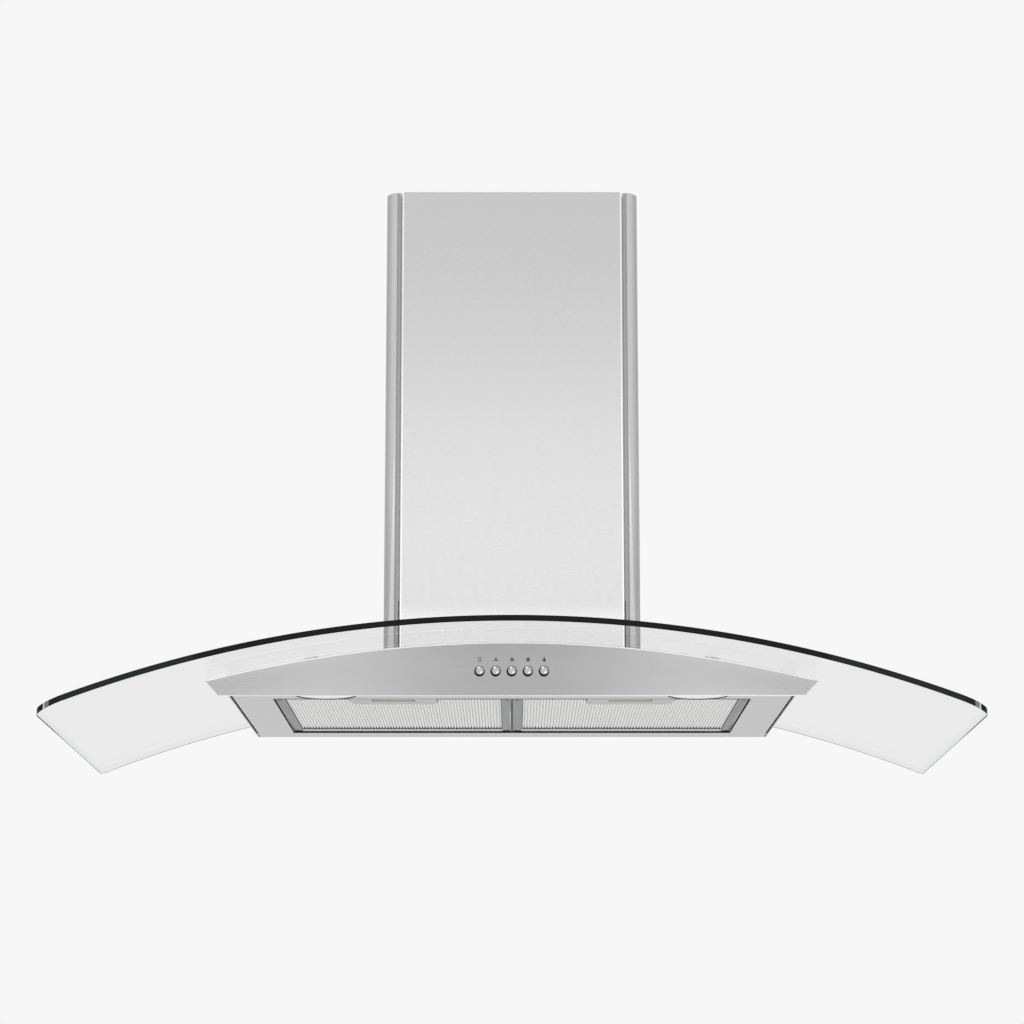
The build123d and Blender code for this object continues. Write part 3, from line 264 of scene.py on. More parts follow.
# Name, colour, direction, roughness, streak width and length, depth and contrast.
METALS = {
    "brushed_steel": ("brushed_stainless_steel", "C5C5C5", "X", 0.30),
    # The control panel's darker colour is painted shade under the glass.
    "panel_steel": ("coarse_brushed_stainless_painted_light_and_shade", "B1B1B1", "X", 0.32, 1.1, 120, 0.10, 0.10),
    "chimney_steel": ("fine_brushed_stainless", "CCCCCC", "X", 0.30, 1.0, 7, 0.02, 0.05),
    # The bent steel carries painted shade along the bend of the corner pieces.
    "bent_steel": ("bent_stainless_painted_shade", "D8D8D8", "X", 0.30, 1.0, 7, 0.02, 0.05),
    # A near-white copy of the steel that paints highlights on folds.
    "polished_fold_painted_highlight": ("polished_fold_painted_highlight", "FAFAFA", "Z", 0.18, 1.4, 90, 0.01),
    # A darker copy of the steel: mill grey, made darker as painted shade of the corner pieces'
    # groove.
    "mill_shade_steel": ("mill_finish_painted_shade_stainless", "A6A6A6", "X", 0.45, 1.0, 10, 0.02),
    "zinc_fastener": ("bright_zinc_plate", "C6C8CB", "X", 0.28, 0.8, 2),
    "shaft_steel": ("ground_steel", "C4C5C8", "Y", 0.22, 0.5, 5),
    "capacitor_can": ("drawn_aluminium_can", "D5D6D8", "Z", 0.3),
    "spring_steel": ("blued_spring_steel", "6B6E74", "Y", 0.35, 0.5, 3),
    "filter_aluminium": ("rolled_aluminium", "CFD0D0", "X", 0.42),
    # A darker copy of the frame's aluminium, as painted shade on the lower sides of the side
    # borders.
    "rim_aluminium": ("folded_aluminium_painted_shade", "8F9192", "Y", 0.42, 0.9),
    "mesh_aluminium": ("woven_aluminium_mesh", "F8F8F7", "Y", 0.45),
    "lamp_metal": ("spun_aluminium", "C3C4C5", "X", 0.33, 0.9, 20),
}
finish = {key: brushed_metal(*row) for key, row in METALS.items()}
print("metals:", len(finish))

# %% [markdown]
# ## Painted light and shade over a sheet
# Large sheets mirror a room that isn't even, so their tone changes slowly from place to place.
# Here that light and shade is painted into their colour. The control panel is painted paler
# towards its ends and darker at its foot, the pleats of the mesh are painted darker at the crests,
# and the chimney is painted paler just above the glass. The bend of each corner piece is painted
# darker towards the side as shade, and the flat behind it is painted paler again.

# %% Painted light and shade
def scale_tone(key, factor):
    """Multiply the tone of a brushed metal by a factor that varies over the surface, to paint
    light and shade into it.
    """
    tree = finish[key].node_tree
    grey = add_node(tree, "CombineColor", {0: factor, 1: factor, 2: factor}).outputs[0]
    product = mix(tree, 1.0, tree.nodes["tone"].outputs[2], grey, "MULTIPLY")
    feed(tree.nodes["Principled BSDF"], Base_Color=product)


def ramp_over(tree, axis, start, end, low, high, shape="SMOOTHSTEP"):
    """A factor from low to high between two distances from 0 along an axis, in mm."""
    place = add_node(tree, "TexCoord").outputs["Object"]
    split = add_node(tree, "SeparateXYZ", {0: place})
    side = math_node(tree, "ABSOLUTE", split.outputs["XYZ".index(axis)])
    return remap(tree, side, low, high, start * MM, end * MM, shape)


# Painted light and shade on the control panel: paler towards its ends, darker at its foot.
tree = finish["panel_steel"].node_tree
paler_ends = ramp_over(tree, "X", 20, 215, 1.0, 1.42)
darker_foot = ramp_over(tree, "Z", 4, 36, 0.88, 1.0)
scale_tone("panel_steel", math_node(tree, "MULTIPLY", paler_ends, darker_foot))

# Painted shade: the mesh is darker at the crests of its pleats.
tree = finish["mesh_aluminium"].node_tree
scale_tone("mesh_aluminium", ramp_over(tree, "Z", 1.5, 3.4, 1.04, 0.84))

# Painted light: the chimney is paler just above the glass.
tree = finish["chimney_steel"].node_tree
scale_tone("chimney_steel", ramp_over(tree, "Z", 84, 108, 1.2, 1.0))

# Painted shade: the bend of each corner piece darkens towards the side, and the flat behind it is
# painted paler.
tree = finish["bent_steel"].node_tree
bend_start = ramp_over(tree, "Z", 110, 250, 0.70, 0.92)
bend_end = ramp_over(tree, "Z", 110, 420, 0.56, 0.48)
bend = ramp_over(tree, "X", 125, 132.2, bend_start, bend_end, "LINEAR")
flat = ramp_over(tree, "Y", 225, 246, 0.86, 0.0, "LINEAR")
scale_tone("bent_steel", math_node(tree, "MAXIMUM", bend, flat))
print("nodes in the bent steel:", len(tree.nodes))

# %% [markdown]
# ## Zinc coated sheet
# The hidden box, brackets and duct are dipped in zinc, which sets in flat crystals. A pattern of
# cells gives each crystal its own grey and gloss, where plain noise would blur them.

# %% Galvanised sheet
def galvanised():
    """Hot dipped sheet: zinc crystals about 9 mm wide, each a slightly different grey."""
    material, tree, shader = new_material("galvanised_sheet", "B4B7BA", 0.46, Metallic=1.0)
    place = add_node(tree, "TexCoord").outputs["Object"]
    crystals = add_node(tree, "TexVoronoi", {"Vector": place, "Scale": 110.0})
    grey = add_node(tree, "SeparateColor", {0: crystals.outputs["Color"]}).outputs
    feed(shader, Base_Color=mix(tree, grey[0], linear("A3A7AB"), linear("C2C5C7")),
         Roughness=remap(tree, grey[1], 0.38, 0.54))
    return material


finish["galvanised_steel"] = galvanised()
print("sheet metal finishes:", len(finish))

# %% [markdown]
# ## Moulded plastics, rubber, paint and ink
# Moulded parts have a fine spark-eroded grain of a few tenths of a millimetre that breaks up
# their highlights. The grain is noise that drives a small bump, and a slow change of colour keeps
# large faces from looking flat.

# %% Moulded materials
def moulded(name, colour, roughness, grain_mm, depth=0.15, **sockets):
    """Moulded or painted surface with a fine grain and a slow change of tone."""
    material, tree, shader = new_material(name, colour, roughness, **sockets)
    slow = noise(tree, 60.0)
    grain = noise(tree, 1000 / grain_mm, Detail=2.0)
    feed(shader, Base_Color=mix(tree, slow, linear(colour, 0.86), linear(colour)),
         Roughness=remap(tree, slow, roughness - 0.05, roughness + 0.05),
         Normal=bump(tree, grain, depth, 0.0003))
    return material


# Name, colour, roughness, grain and depth.
MOULDED = {
    "black_plastic": ("black_nylon", "232426", 0.5, 0.9),
    "grey_plastic": ("grey_polypropylene", "76787B", 0.5, 1.0),
    "latch_plastic": ("warm_grey_abs", "D3D3C9", 0.42, 0.8),
    "gasket_rubber": ("black_epdm_rubber", "1D1E1F", 0.75, 0.7, 0.3),
    "motor_casing": ("grey_stoving_enamel", "55585C", 0.38, 1.5),
    "sign_ink": ("dark_grey_screen_ink", "38393B", 0.6, 0.6, 0.05),
}
for key, row in MOULDED.items():
    finish[key] = moulded(*row)
# An unlit black for the button rings, which paints the shade round each plug.
finish["ring_shade_black"] = moulded("matt_black_painted_shade", "0C0C0C", 0.8, 0.7, Specular_IOR_Level=0.1)
print("moulded finishes:", len(MOULDED) + 1)

# %% [markdown]
# ## Chrome and frosted glass
# The buttons are chrome plated. Finger smudges change their gloss a little, since a perfect
# mirror looks drawn. The lamp glass is sand blasted inside, and a fine bump breaks its mirror.

# %% Chrome and frosted glass
def chrome():
    """Decorative chrome plate over a polished button, with faint finger smudges."""
    material, tree, shader = new_material("chrome_plate", "BFC0C2", 0.08, Metallic=1.0)
    feed(shader, Roughness=remap(tree, noise(tree, 300.0), 0.05, 0.14))
    return material


def frosted_glass():
    """Lamp glass, sand blasted inside, so that it looks milky white when it is off."""
    material, tree, shader = new_material("frosted_lamp_glass", "FBFBF9", 0.12, IOR=1.5)
    frost = noise(tree, 900.0)
    feed(shader, Normal=bump(tree, frost, 0.1, 0.0002), Roughness=remap(tree, frost, 0.08, 0.16))
    return material


finish["button_chrome"] = chrome()
finish["lamp_glass"] = frosted_glass()
print("finishes so far:", len(finish))

# %% [markdown]
# ## Toughened glass
# The pane is clear float glass, 6 mm thick, bent hot and toughened. Nearly all light goes straight
# through its faces, so each face is a thin film: mostly see-through, with a faint mirror on top.
# Glass that bends light would be closer to physics, but at the flat angle of the photograph it
# mirrors the panel far more than the real pane does. The sides are ground, and so pale green grey,
# and their lower arris draws a thin grey line, painted dark towards the front as shade. The front
# edge is polished and dark green, since light travels a long way inside it; in front of the body
# it is painted nearly black as shade. In each round corner a pale patch is painted on as a
# highlight.

# %% Glass materials
def thin_glass(name, colour, mirror_share):
    """See-through film of a colour; its mirror is weaker head on, and lamp light passes it."""
    material, tree, shader = new_material(name, "FFFFFF", 0.02, Metallic=1.0)
    curve = add_node(tree, "Fresnel", {"IOR": 1.5}).outputs[0]
    shadow = add_node(tree, "LightPath").outputs["Is Shadow Ray"]
    share = math_node(tree, "MULTIPLY", math_node(tree, "MINIMUM", curve, mirror_share),
                      math_node(tree, "SUBTRACT", 1.0, shadow))
    blend_surfaces(tree, share, add_node(tree, "BsdfTransparent", {"Color": linear(colour)}),
                   shader)
    feed(shader, Normal=bump(tree, noise(tree, 6.0), 0.02, 0.0004))
    return material


def glass_edge():
    """Polished edge, dark green; painted shade makes it nearly black before the body, and a
    painted highlight makes a pale patch in each corner.
    """
    material, tree, shader = new_material("green_glass_edge_painted_shade_and_highlight", "1B2422", 0.12, IOR=1.5,
                                          Specular_IOR_Level=0.12)
    green = mix(tree, noise(tree, 120.0), linear("141D1B"), linear("1E2A27"))
    # Painted shade: nearly black in front of the body, which is seen through the edge.
    edge = mix(tree, ramp_over(tree, "X", 298, 304, 0.0, 1.0), linear("0A0B0B"), green)
    # Painted highlight: a pale patch in each round corner, with less mirror there.
    pale = mix(tree, ramp_over(tree, "X", 439.4, 440.0, 0.0, 1.0), linear("7F8B89"),
               linear("E4E9E8"))
    window = math_node(tree, "MULTIPLY", ramp_over(tree, "X", 434.8, 435.6, 0.0, 1.0),
                       ramp_over(tree, "X", 440.8, 441.6, 1.0, 0.0))
    feed(shader, Base_Color=mix(tree, window, edge, pale),
         Specular_IOR_Level=ramp_over(tree, "X", 434, 440, 0.12, 0.01))
    return material


def ground_arris():
    """Ground lower arris of the sides: pale, with painted shade making it dark grey towards the
    front.
    """
    material, tree, shader = new_material("ground_glass_arris_painted_shade", "D2D5D4", 0.6)
    pale = mix(tree, noise(tree, 400.0), linear("CDD0CF"), linear("D8DBDA"))
    # Painted shade: the arris darkens towards the front.
    feed(shader, Base_Color=mix(tree, ramp_over(tree, "Y", 290, 400, 0.0, 1.0), pale,
                                linear("474B4A")))
    return material


finish["canopy_glass"] = thin_glass("toughened_clear_glass", "F8F8F8", 0.055)
finish["ground_glass"] = thin_glass("ground_green_glass_edge", "EFF2F1", 0.1)
finish["edge_glass"] = glass_edge()
finish["arris_glass"] = ground_arris()
print("glass finishes:", [key for key in finish if key.endswith("glass")])

# %% [markdown]
# ## Finishes for the solids
# Every solid names the slot of its material in the record, so most hidden parts only need that
# slot's finish. Only the chimney differs from the other steel.

# %% Dress the solids
CHIMNEY = ("chimney_front_panel", "left_chimney_side", "right_chimney_side", "upper_chimney")


def add_finishes(piece, *keys):
    """Add finishes to a piece as its next material slots."""
    for key in keys:
        piece.data.materials.append(finish[key])


for part in frame["record"]["subparts"]:
    name = part["node"]
    solid = nodes[name]
    solid.data.materials.clear()
    add_finishes(solid, "chimney_steel" if name in CHIMNEY else part["material_slot"])
print("finishes:", len(finish))

# %% [markdown]
# ## Working by hand in code
# The pieces below start as primitives and are shaped with the same operators as by hand. These
# helpers start a box or a rod, pick parts by their place, cut, bevel and close a finished piece.

# %% Objects and primitives
def only(piece):
    """Make one object the selected and active one."""
    bpy.ops.object.select_all(action="DESELECT")
    piece.select_set(True)
    bpy.context.view_layer.objects.active = piece
    return piece


def settle(name, place=(0, 0, 0), turn=(0, 0, 0), size=(1, 1, 1)):
    """Name the active object and work a place in metres, a turn and a size into its mesh."""
    piece = bpy.context.object
    piece.name = name
    piece.location = place
    piece.rotation_euler = turn
    piece.scale = size
    bpy.ops.object.transform_apply(location=True, rotation=True, scale=True)
    return piece


def start_box(name, low, high):
    """A box between two corners in mm, as a start for shaping."""
    bpy.ops.mesh.primitive_cube_add(size=1)
    middle = [(a + b) / 2 * MM for a, b in zip(low, high)]
    return settle(name, middle, size=[(b - a) * MM for a, b in zip(low, high)])


def start_rod(name, radius, low, high, sides=64):
    """A round rod between two points in mm."""
    run = (Vector(high) - Vector(low)) * MM
    bpy.ops.mesh.primitive_cylinder_add(vertices=sides, radius=radius * MM, depth=run.length)
    return settle(name, (Vector(high) + Vector(low)) / 2 * MM,
                  run.to_track_quat("Z", "Y").to_euler())


# %% Modelling helpers
def enter(piece):
    """Enter edit mode with everything selected."""
    only(piece)
    bpy.ops.object.mode_set(mode="EDIT")
    bpy.ops.mesh.select_all(action="SELECT")


def pick(piece, kind, test):
    """Enter edit mode with the VERT, EDGE or FACE parts whose test is true selected."""
    only(piece)
    bpy.ops.object.mode_set(mode="EDIT")
    bpy.ops.mesh.select_mode(type=kind)
    bpy.ops.mesh.select_all(action="DESELECT")
    mesh = bmesh.from_edit_mesh(piece.data)
    for part in {"VERT": mesh.verts, "EDGE": mesh.edges, "FACE": mesh.faces}[kind]:
        part.select_set(test(part))
    mesh.select_flush_mode()
    bmesh.update_edit_mesh(piece.data)


def leave():
    bpy.ops.object.mode_set(mode="OBJECT")


def bevel(piece, width, segments, test):
    """Bevel the edges whose test is true, with a width in mm."""
    pick(piece, "EDGE", test)
    bpy.ops.mesh.bevel(offset=width * MM, segments=segments)
    leave()


def centre(face):
    """The middle of a face, in mm."""
    return face.calc_center_median() / MM


def use_modifier(piece, kind, **settings):
    """Add a modifier with its settings and apply it."""
    only(piece)
    modifier = piece.modifiers.new(kind.lower(), kind)
    for name, value in settings.items():
        setattr(modifier, name, value)
    bpy.ops.object.modifier_apply(modifier=modifier.name)


def cut_away(piece, tool, operation="DIFFERENCE"):
    """Cut a tool out of a piece, keep what both share or join them, and remove the tool."""
    use_modifier(piece, "BOOLEAN", object=tool, operation=operation, solver="EXACT")
    bpy.data.objects.remove(tool)


def close_piece(piece, body, slot, replaced=(), angle=30):
    """Smooth shading, finish, body, slot and the solids that the piece stands for."""
    only(piece)
    bpy.ops.object.shade_smooth_by_angle(angle=math.radians(angle))
    use_modifier(piece, "WEIGHTED_NORMAL", keep_sharp=True)
    if not piece.data.materials:
        add_finishes(piece, slot)
    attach(piece, body)
    if replaced:
        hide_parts(*replaced)
    print(piece.name, len(piece.data.polygons), "faces")


# %% [markdown]
# ## The glass pane
# The pane is one arch: a strip 6 mm thick, bent to a radius of 1208 mm about an axis that runs
# from front to back and leans by 1.1 degrees. It could be a curved grid with thickness, but an
# upright section spun about the arch's axis gives true round skins of even thickness. The outline
# in plan, the slot for the chimney and the four screw holes are then cut through it.

# %% Pane blank
GLASS_RADIUS = 1208.0
GLASS_THICKNESS = 6.0
GLASS_CROWN = 56.2
GLASS_REACH = 500.0
GLASS_LENGTH = 468.0
GLASS_HALF = 450.0
GLASS_TILT = math.radians(1.1)
OUTER_RADIUS = GLASS_RADIUS + GLASS_THICKNESS
SPARE = 20  # of the blank, beyond both ends of the pane
HALF_TURN = math.radians(22.6)  # of the spin, a little more than the pane's half width


def lay_on_arch(piece):
    """Turn a piece from the level arch, front edge at Y = 0, to its place on the hood."""
    only(piece)
    settle(piece.name, (0, -GLASS_REACH * MM, GLASS_CROWN * MM), (-GLASS_TILT, 0, 0))


def weld():
    """Join the doubled points of a spun mesh and turn its faces outwards."""
    bpy.ops.mesh.select_all(action="SELECT")
    bpy.ops.mesh.remove_doubles(threshold=1e-6)
    bpy.ops.mesh.normals_make_consistent(inside=False)
    leave()


bpy.ops.mesh.primitive_plane_add(size=1)
pane = settle("glass_pane", (0, GLASS_LENGTH / 2 * MM, -GLASS_THICKNESS / 2 * MM),
              (0, math.pi / 2, 0), (GLASS_THICKNESS * MM, (GLASS_LENGTH + 2 * SPARE) * MM, 1))
axis = (0, 0, -OUTER_RADIUS * MM)
enter(pane)
bpy.ops.transform.rotate(value=HALF_TURN, orient_axis="Y", center_override=axis)
bpy.ops.mesh.spin(steps=120, angle=2 * HALF_TURN, center=axis, axis=(0, -1, 0))
weld()
print("pane blank", pane.dimensions)

# %% Outline and holes of the pane
FRONT_CORNER = 28.0
BACK_CORNER = 4.0
HOLE_RADIUS = 4.5
SCREW_PLACES = [(x, y) for x in (-200, 200) for y in (-330, -90)]
SLOT_SIDE_GAP = 5.0
SLOT_FRONT_GAP = 4.0


def is_upright(edge):
    """An edge that runs along Z."""
    step = edge.verts[0].co - edge.verts[1].co
    return abs(step.z) > 0.9 * step.length


outline = start_box("outline", (-GLASS_HALF, 0, -140), (GLASS_HALF, GLASS_LENGTH, 40))
for radius, is_front in ((FRONT_CORNER, True), (BACK_CORNER, False)):
    bevel(outline, radius, 16,
          lambda e: is_upright(e) and (e.verts[0].co.y < 0.1) == is_front)
cut_away(pane, outline, "INTERSECT")

for x, y in SCREW_PLACES:
    lean = math.asin(x / OUTER_RADIUS)
    along = (y + GLASS_REACH) / math.cos(GLASS_TILT)
    ends = [(r * math.sin(lean), along, r * math.cos(lean) - OUTER_RADIUS)
            for r in (GLASS_RADIUS - 10, OUTER_RADIUS + 10)]
    cut_away(pane, start_rod("drill", HOLE_RADIUS, ends[0], ends[1], 48))
lay_on_arch(pane)

box_low, box_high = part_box("fan_box")
slot_half = box_high.x / MM + SLOT_SIDE_GAP
slot_front = box_low.y / MM - SLOT_FRONT_GAP
cut_away(pane, start_box("slot", (-slot_half, slot_front, -40), (slot_half, 10, 120)))
print("pane outline cut")

# %% Edge of the pane
ARCH_CENTRE = GLASS_CROWN - OUTER_RADIUS
SIDE_LINE = GLASS_HALF - 1.4  # where the thin line along each side begins
SIDE_ZONE = GLASS_HALF - 20  # only faces beyond this are cut at that line


def outward(face):
    """1 for a face of the upper skin, -1 for one of the lower skin, about 0 for an edge."""
    middle = centre(face)
    return Vector((middle.x, 0, middle.z - ARCH_CENTRE)).normalized().dot(face.normal)


def is_skin(face):
    return abs(outward(face)) > 0.9


def is_dark(face):
    """The front edge with its round corners, and the lower arris of the other edges."""
    return not is_skin(face) and (face.normal.y < -0.25 or outward(face) < -0.3)


def is_side_line(face):
    """The last millimetre of the lower skin along the sides, with its arris."""
    return abs(centre(face).x) > SIDE_LINE and outward(face) < -0.3 and face.normal.y > -0.25


def bisect_at(piece, axis, place, test=None):
    """Cut the mesh, or its faces whose test is true, square to an axis at a place in mm."""
    if test:
        pick(piece, "FACE", test)
    else:
        enter(piece)
    normal = Vector([float(a == axis) for a in "XYZ"])
    bpy.ops.mesh.bisect(plane_co=normal * (place * MM), plane_no=normal)
    leave()


def give_material(piece, number, test):
    """Assign a material slot, by its number, to the faces whose test is true."""
    pick(piece, "FACE", test)
    piece.active_material_index = number
    bpy.ops.object.material_slot_assign()
    leave()


bevel(pane, 0.6, 2, lambda e: len(e.link_faces) == 2
      and is_skin(e.link_faces[0]) != is_skin(e.link_faces[1]))
for side in (-1, 1):
    bisect_at(pane, "X", side * SIDE_LINE,
              lambda f: outward(f) < -0.3 and centre(f).x * side > SIDE_ZONE)
add_finishes(pane, "canopy_glass", "ground_glass", "edge_glass", "arris_glass")
give_material(pane, 1, lambda f: not is_skin(f))
give_material(pane, 2, is_dark)
give_material(pane, 3, is_side_line)
close_piece(pane, "hood", "canopy_glass", ["glass_canopy"], 12)

# %% [markdown]
# ## The control panel
# The front is a shallow pan of brushed steel 1.2 mm thick: a face with slanted ends, a top that
# follows the arch just under the glass, and returns folded backwards at the top and the ends. A
# block is given slanted ends, its top is cut by the same round as the glass, its front rim is
# rounded as a press brake would, and then its open back and foot are taken off and the rest is
# turned into sheet. The folds of the front rim get a near-white copy of the steel as a painted
# highlight, so the lower fold shows as a bright line. The button holes come last.

# %% Control panel
SHEET = 1.2
PANEL_FACE = -387.0
PANEL_BACK = -378.0
PANEL_FOOT = -6.0
PANEL_HALF = 287.0
PANEL_FLARE = 0.9  # of each end outwards, per mm of height
PANEL_RISE = 70.0  # of the block, more than the arch leaves of it
PANEL_TOP_GAP = 0.6
BUTTON_HOLE = 4.72
BUTTON_HEIGHT = 19.0
BUTTON_PITCH = 15.8
BUTTON_PLACES = [(i - 2) * BUTTON_PITCH for i in range(5)]


def under_glass(drop):
    """A cutter that holds all the space below the glass, lowered by a drop in mm."""
    cutter = start_rod("under_glass", GLASS_RADIUS - drop, (0, -60, -OUTER_RADIUS),
                       (0, 700, -OUTER_RADIUS), 720)
    lay_on_arch(cutter)
    return cutter


def fold_to_sheet(piece, thickness, is_open):
    """Take the open faces off a block and give what is left the sheet's thickness inwards."""
    pick(piece, "FACE", is_open)
    bpy.ops.mesh.delete(type="ONLY_FACE")
    leave()
    use_modifier(piece, "SOLIDIFY", thickness=thickness * MM, offset=-1, use_even_offset=True)


def face_rod(name, radius, x, z, start, end, sides=48):
    """A rod square to the panel, from start to end in mm behind its face."""
    return start_rod(name, radius, (x, PANEL_FACE + start, z), (x, PANEL_FACE + end, z), sides)


panel = start_box("control_panel", (-PANEL_HALF, PANEL_FACE, PANEL_FOOT),
                  (PANEL_HALF, PANEL_BACK, PANEL_FOOT + PANEL_RISE))
pick(panel, "VERT", lambda v: v.co.z > 0)
spread = (PANEL_HALF + PANEL_RISE * PANEL_FLARE) / PANEL_HALF
bpy.ops.transform.resize(value=(spread, 1, 1), center_override=(0, 0, 0))
leave()
cut_away(panel, under_glass(PANEL_TOP_GAP), "INTERSECT")
face_y = PANEL_FACE * MM + 1e-5
bevel(panel, 1.3, 3, lambda e: e.verts[0].co.y < face_y and e.verts[1].co.y < face_y)
add_finishes(panel, "panel_steel", "polished_fold_painted_highlight")
# Painted highlight: the folds of the front rim get the near-white steel.
give_material(panel, 1, lambda f: f.normal.z < -0.5 or (f.normal.z > 0.2 and f.normal.y < -0.2))
fold_to_sheet(panel, SHEET, lambda f: f.normal.y > 0.9 or f.normal.z < -0.99)
for x in BUTTON_PLACES:
    cut_away(panel, face_rod("drill", BUTTON_HOLE, x, BUTTON_HEIGHT, -5, 5))
close_piece(panel, "hood", "brushed_steel", ["control_fascia"])
print("control panel", panel.dimensions)

# %% [markdown]
# ## Push buttons
# Each button is a turned and chromed plug with a domed face. A chain of points for half of its
# outline, spun about its axis, is the same as turning it on a lathe, and one button is copied
# for each place with its own mesh.

# %% Lathe helper and buttons
def turned(name, outline, place, aim, steps=48):
    """A round piece: (radius, height) points in mm, spun and laid along aim at a place."""
    bpy.ops.mesh.primitive_plane_add(size=MM)
    piece = bpy.context.object
    enter(piece)
    bpy.ops.mesh.select_mode(type="VERT")
    bpy.ops.mesh.merge(type="CENTER")
    before = Vector((0, 0, 0))
    for number, (radius, height) in enumerate(outline):
        point = Vector((radius, 0, height)) * MM
        if number == 0:
            bpy.ops.transform.translate(value=point)
        else:
            bpy.ops.mesh.extrude_region_move(TRANSFORM_OT_translate={"value": point - before})
        before = point
    bpy.ops.mesh.select_all(action="SELECT")
    bpy.ops.mesh.spin(steps=steps, angle=2 * math.pi, center=(0, 0, 0), axis=(0, 0, 1))
    weld()
    return settle(name, Vector(place) * MM, Vector(aim).to_track_quat("Z", "Y").to_euler())


def copy_to(piece, name, step=0.0):
    """A copy with its own mesh, moved along X by a step in mm."""
    twin = piece.copy()
    twin.data = piece.data.copy()
    scene.collection.objects.link(twin)
    only(twin)
    return settle(name, (step * MM, 0, 0))


BUTTON_FRONT = -390.2
BUTTON_RADIUS = 4.0
DOME = 1.8
DOME_STEPS = 8
ball = (BUTTON_RADIUS ** 2 + DOME ** 2) / (2 * DOME)
swing = math.asin(BUTTON_RADIUS / ball) / DOME_STEPS
dome = [(ball * math.sin(swing * i), ball - ball * math.cos(swing * i))
        for i in range(DOME_STEPS + 1)]
stem = [(4.0, 5.3), (4.7, 5.4), (4.7, 6.2), (2.5, 6.3), (2.5, 18.3), (0, 18.3)]
BUTTON_NAMES = ["off_button", "low_speed_button", "middle_speed_button", "high_speed_button",
                "lamp_button"]
first = turned("push_button", dome + stem, (BUTTON_PLACES[0], BUTTON_FRONT, BUTTON_HEIGHT),
               (0, 1, 0))
for name, x in zip(BUTTON_NAMES, BUTTON_PLACES):
    button = copy_to(first, name + "_plug", x - BUTTON_PLACES[0])
    close_piece(button, name, "button_chrome", [name], 35)
bpy.data.objects.remove(first)

# %% [markdown]
# ## Button rings
# Each plug runs in a black moulded ring. Its outer round is set a little lower than its hole, so
# the ring is thick below and thin above the plug, and its unlit black paints a dark crescent of
# shade. A short rod with an eccentric hole is enough, and a bevel rounds its front.

# %% Button rings
RING_RADIUS = 5.1
RING_BORE = 4.15
RING_DROP = 0.75
RING_SIDE = -0.3
RING_PROUD = 0.6

rings = []
for x in BUTTON_PLACES:
    # The ring is set low and to one side, so that its black paints a crescent of shade below the
    # plug.
    ring = face_rod("button_ring", RING_RADIUS, x + RING_SIDE, BUTTON_HEIGHT - RING_DROP,
                    -RING_PROUD, -0.02)
    bevel(ring, 0.3, 2, lambda e: all(v.co.y < (PANEL_FACE - 0.5) * MM for v in e.verts))
    cut_away(ring, face_rod("bore", RING_BORE, x, BUTTON_HEIGHT, -2, 2))
    rings.append(ring)
print("rings:", len(rings))

# %% [markdown]
# ## Signs over the buttons
# Small dark signs are screen printed over the buttons: a nought for off, fans with three, four
# and five blades for the speeds, and a lamp. They are plain shapes, so each is a very thin plate
# that lies on the panel. A blade is a squashed disc, copied round the middle.

# %% Join helper and printed signs
SIGN_HEIGHT = 29.9
FAN_REACH = 2.7


def ink_disc(x, z, radius, squash=(1, 1), turn=0.0):
    """A thin printed spot, squashed and then turned about its middle by an angle."""
    disc = face_rod("ink", radius, x, z, 0.3, -0.04, 24)
    enter(disc)
    middle = (x * MM, PANEL_FACE * MM, z * MM)
    bpy.ops.transform.resize(value=(squash[0], 1, squash[1]), center_override=middle)
    bpy.ops.transform.rotate(value=-turn, orient_axis="Y", center_override=middle)
    leave()
    return disc


def join_all(pieces, name):
    """Join several objects into the first one."""
    bpy.ops.object.select_all(action="DESELECT")
    for piece in pieces:
        piece.select_set(True)
    bpy.context.view_layer.objects.active = pieces[0]
    bpy.ops.object.join()
    pieces[0].name = name
    return pieces[0]


def fan_sign(x, blades):
    """Blades round a middle; of four blades, none is upright."""
    made = []
    for i in range(blades):
        turn = 2 * math.pi * i / blades + (math.pi / 4 if blades == 4 else 0)
        out = FAN_REACH * 0.43
        made.append(ink_disc(x + out * math.sin(turn), SIGN_HEIGHT + out * math.cos(turn),
                             FAN_REACH * 0.57, (0.36, 1), turn))
    return made


off_sign = ink_disc(BUTTON_PLACES[0], SIGN_HEIGHT, 2.5, (0.62, 1))
cut_away(off_sign, ink_disc(BUTTON_PLACES[0], SIGN_HEIGHT, 2.05, (0.42, 1)))
bulb = ink_disc(BUTTON_PLACES[4], SIGN_HEIGHT - 0.7, 1.5)
flame = ink_disc(BUTTON_PLACES[4], SIGN_HEIGHT + 1.3, 1.4, (0.45, 1))
signs = [off_sign, bulb, flame]
for place, blades in zip(BUTTON_PLACES[1:4], (3, 4, 5)):
    signs += fan_sign(place, blades)
for pieces, name, key in ((signs, "printed_signs", "sign_ink"),
                          (rings, "button_rings", "ring_shade_black")):
    joined = join_all(pieces, name)
    add_finishes(joined, key)
    close_piece(joined, "hood", "black_plastic")

# %% [markdown]
# ## The chimney
# Three folded sheets stand round the duct: a flat front panel and two corner pieces. Each starts
# as a block, has its foot cut by the round of the glass, gets its edges rounded, loses the faces
# that the real sheet hasn't got, and becomes 1 mm sheet. The folded edges of the front panel get a
# near-white copy of the steel as a painted highlight, and show as two bright lines.

# %% Front panel of the chimney
CHIMNEY_TOP = 546.5
CHIMNEY_FRONT = -265.0
CHIMNEY_HALF = 132.5
CHIMNEY_SHEET = 1.0
FOOT_GAP = 0.3  # between the chimney and the glass
FRONT_HALF = 116.2
FRONT_ROUND = 2.3
RETURN = 6.5


def is_level(face):
    return abs(face.normal.z) > 0.9


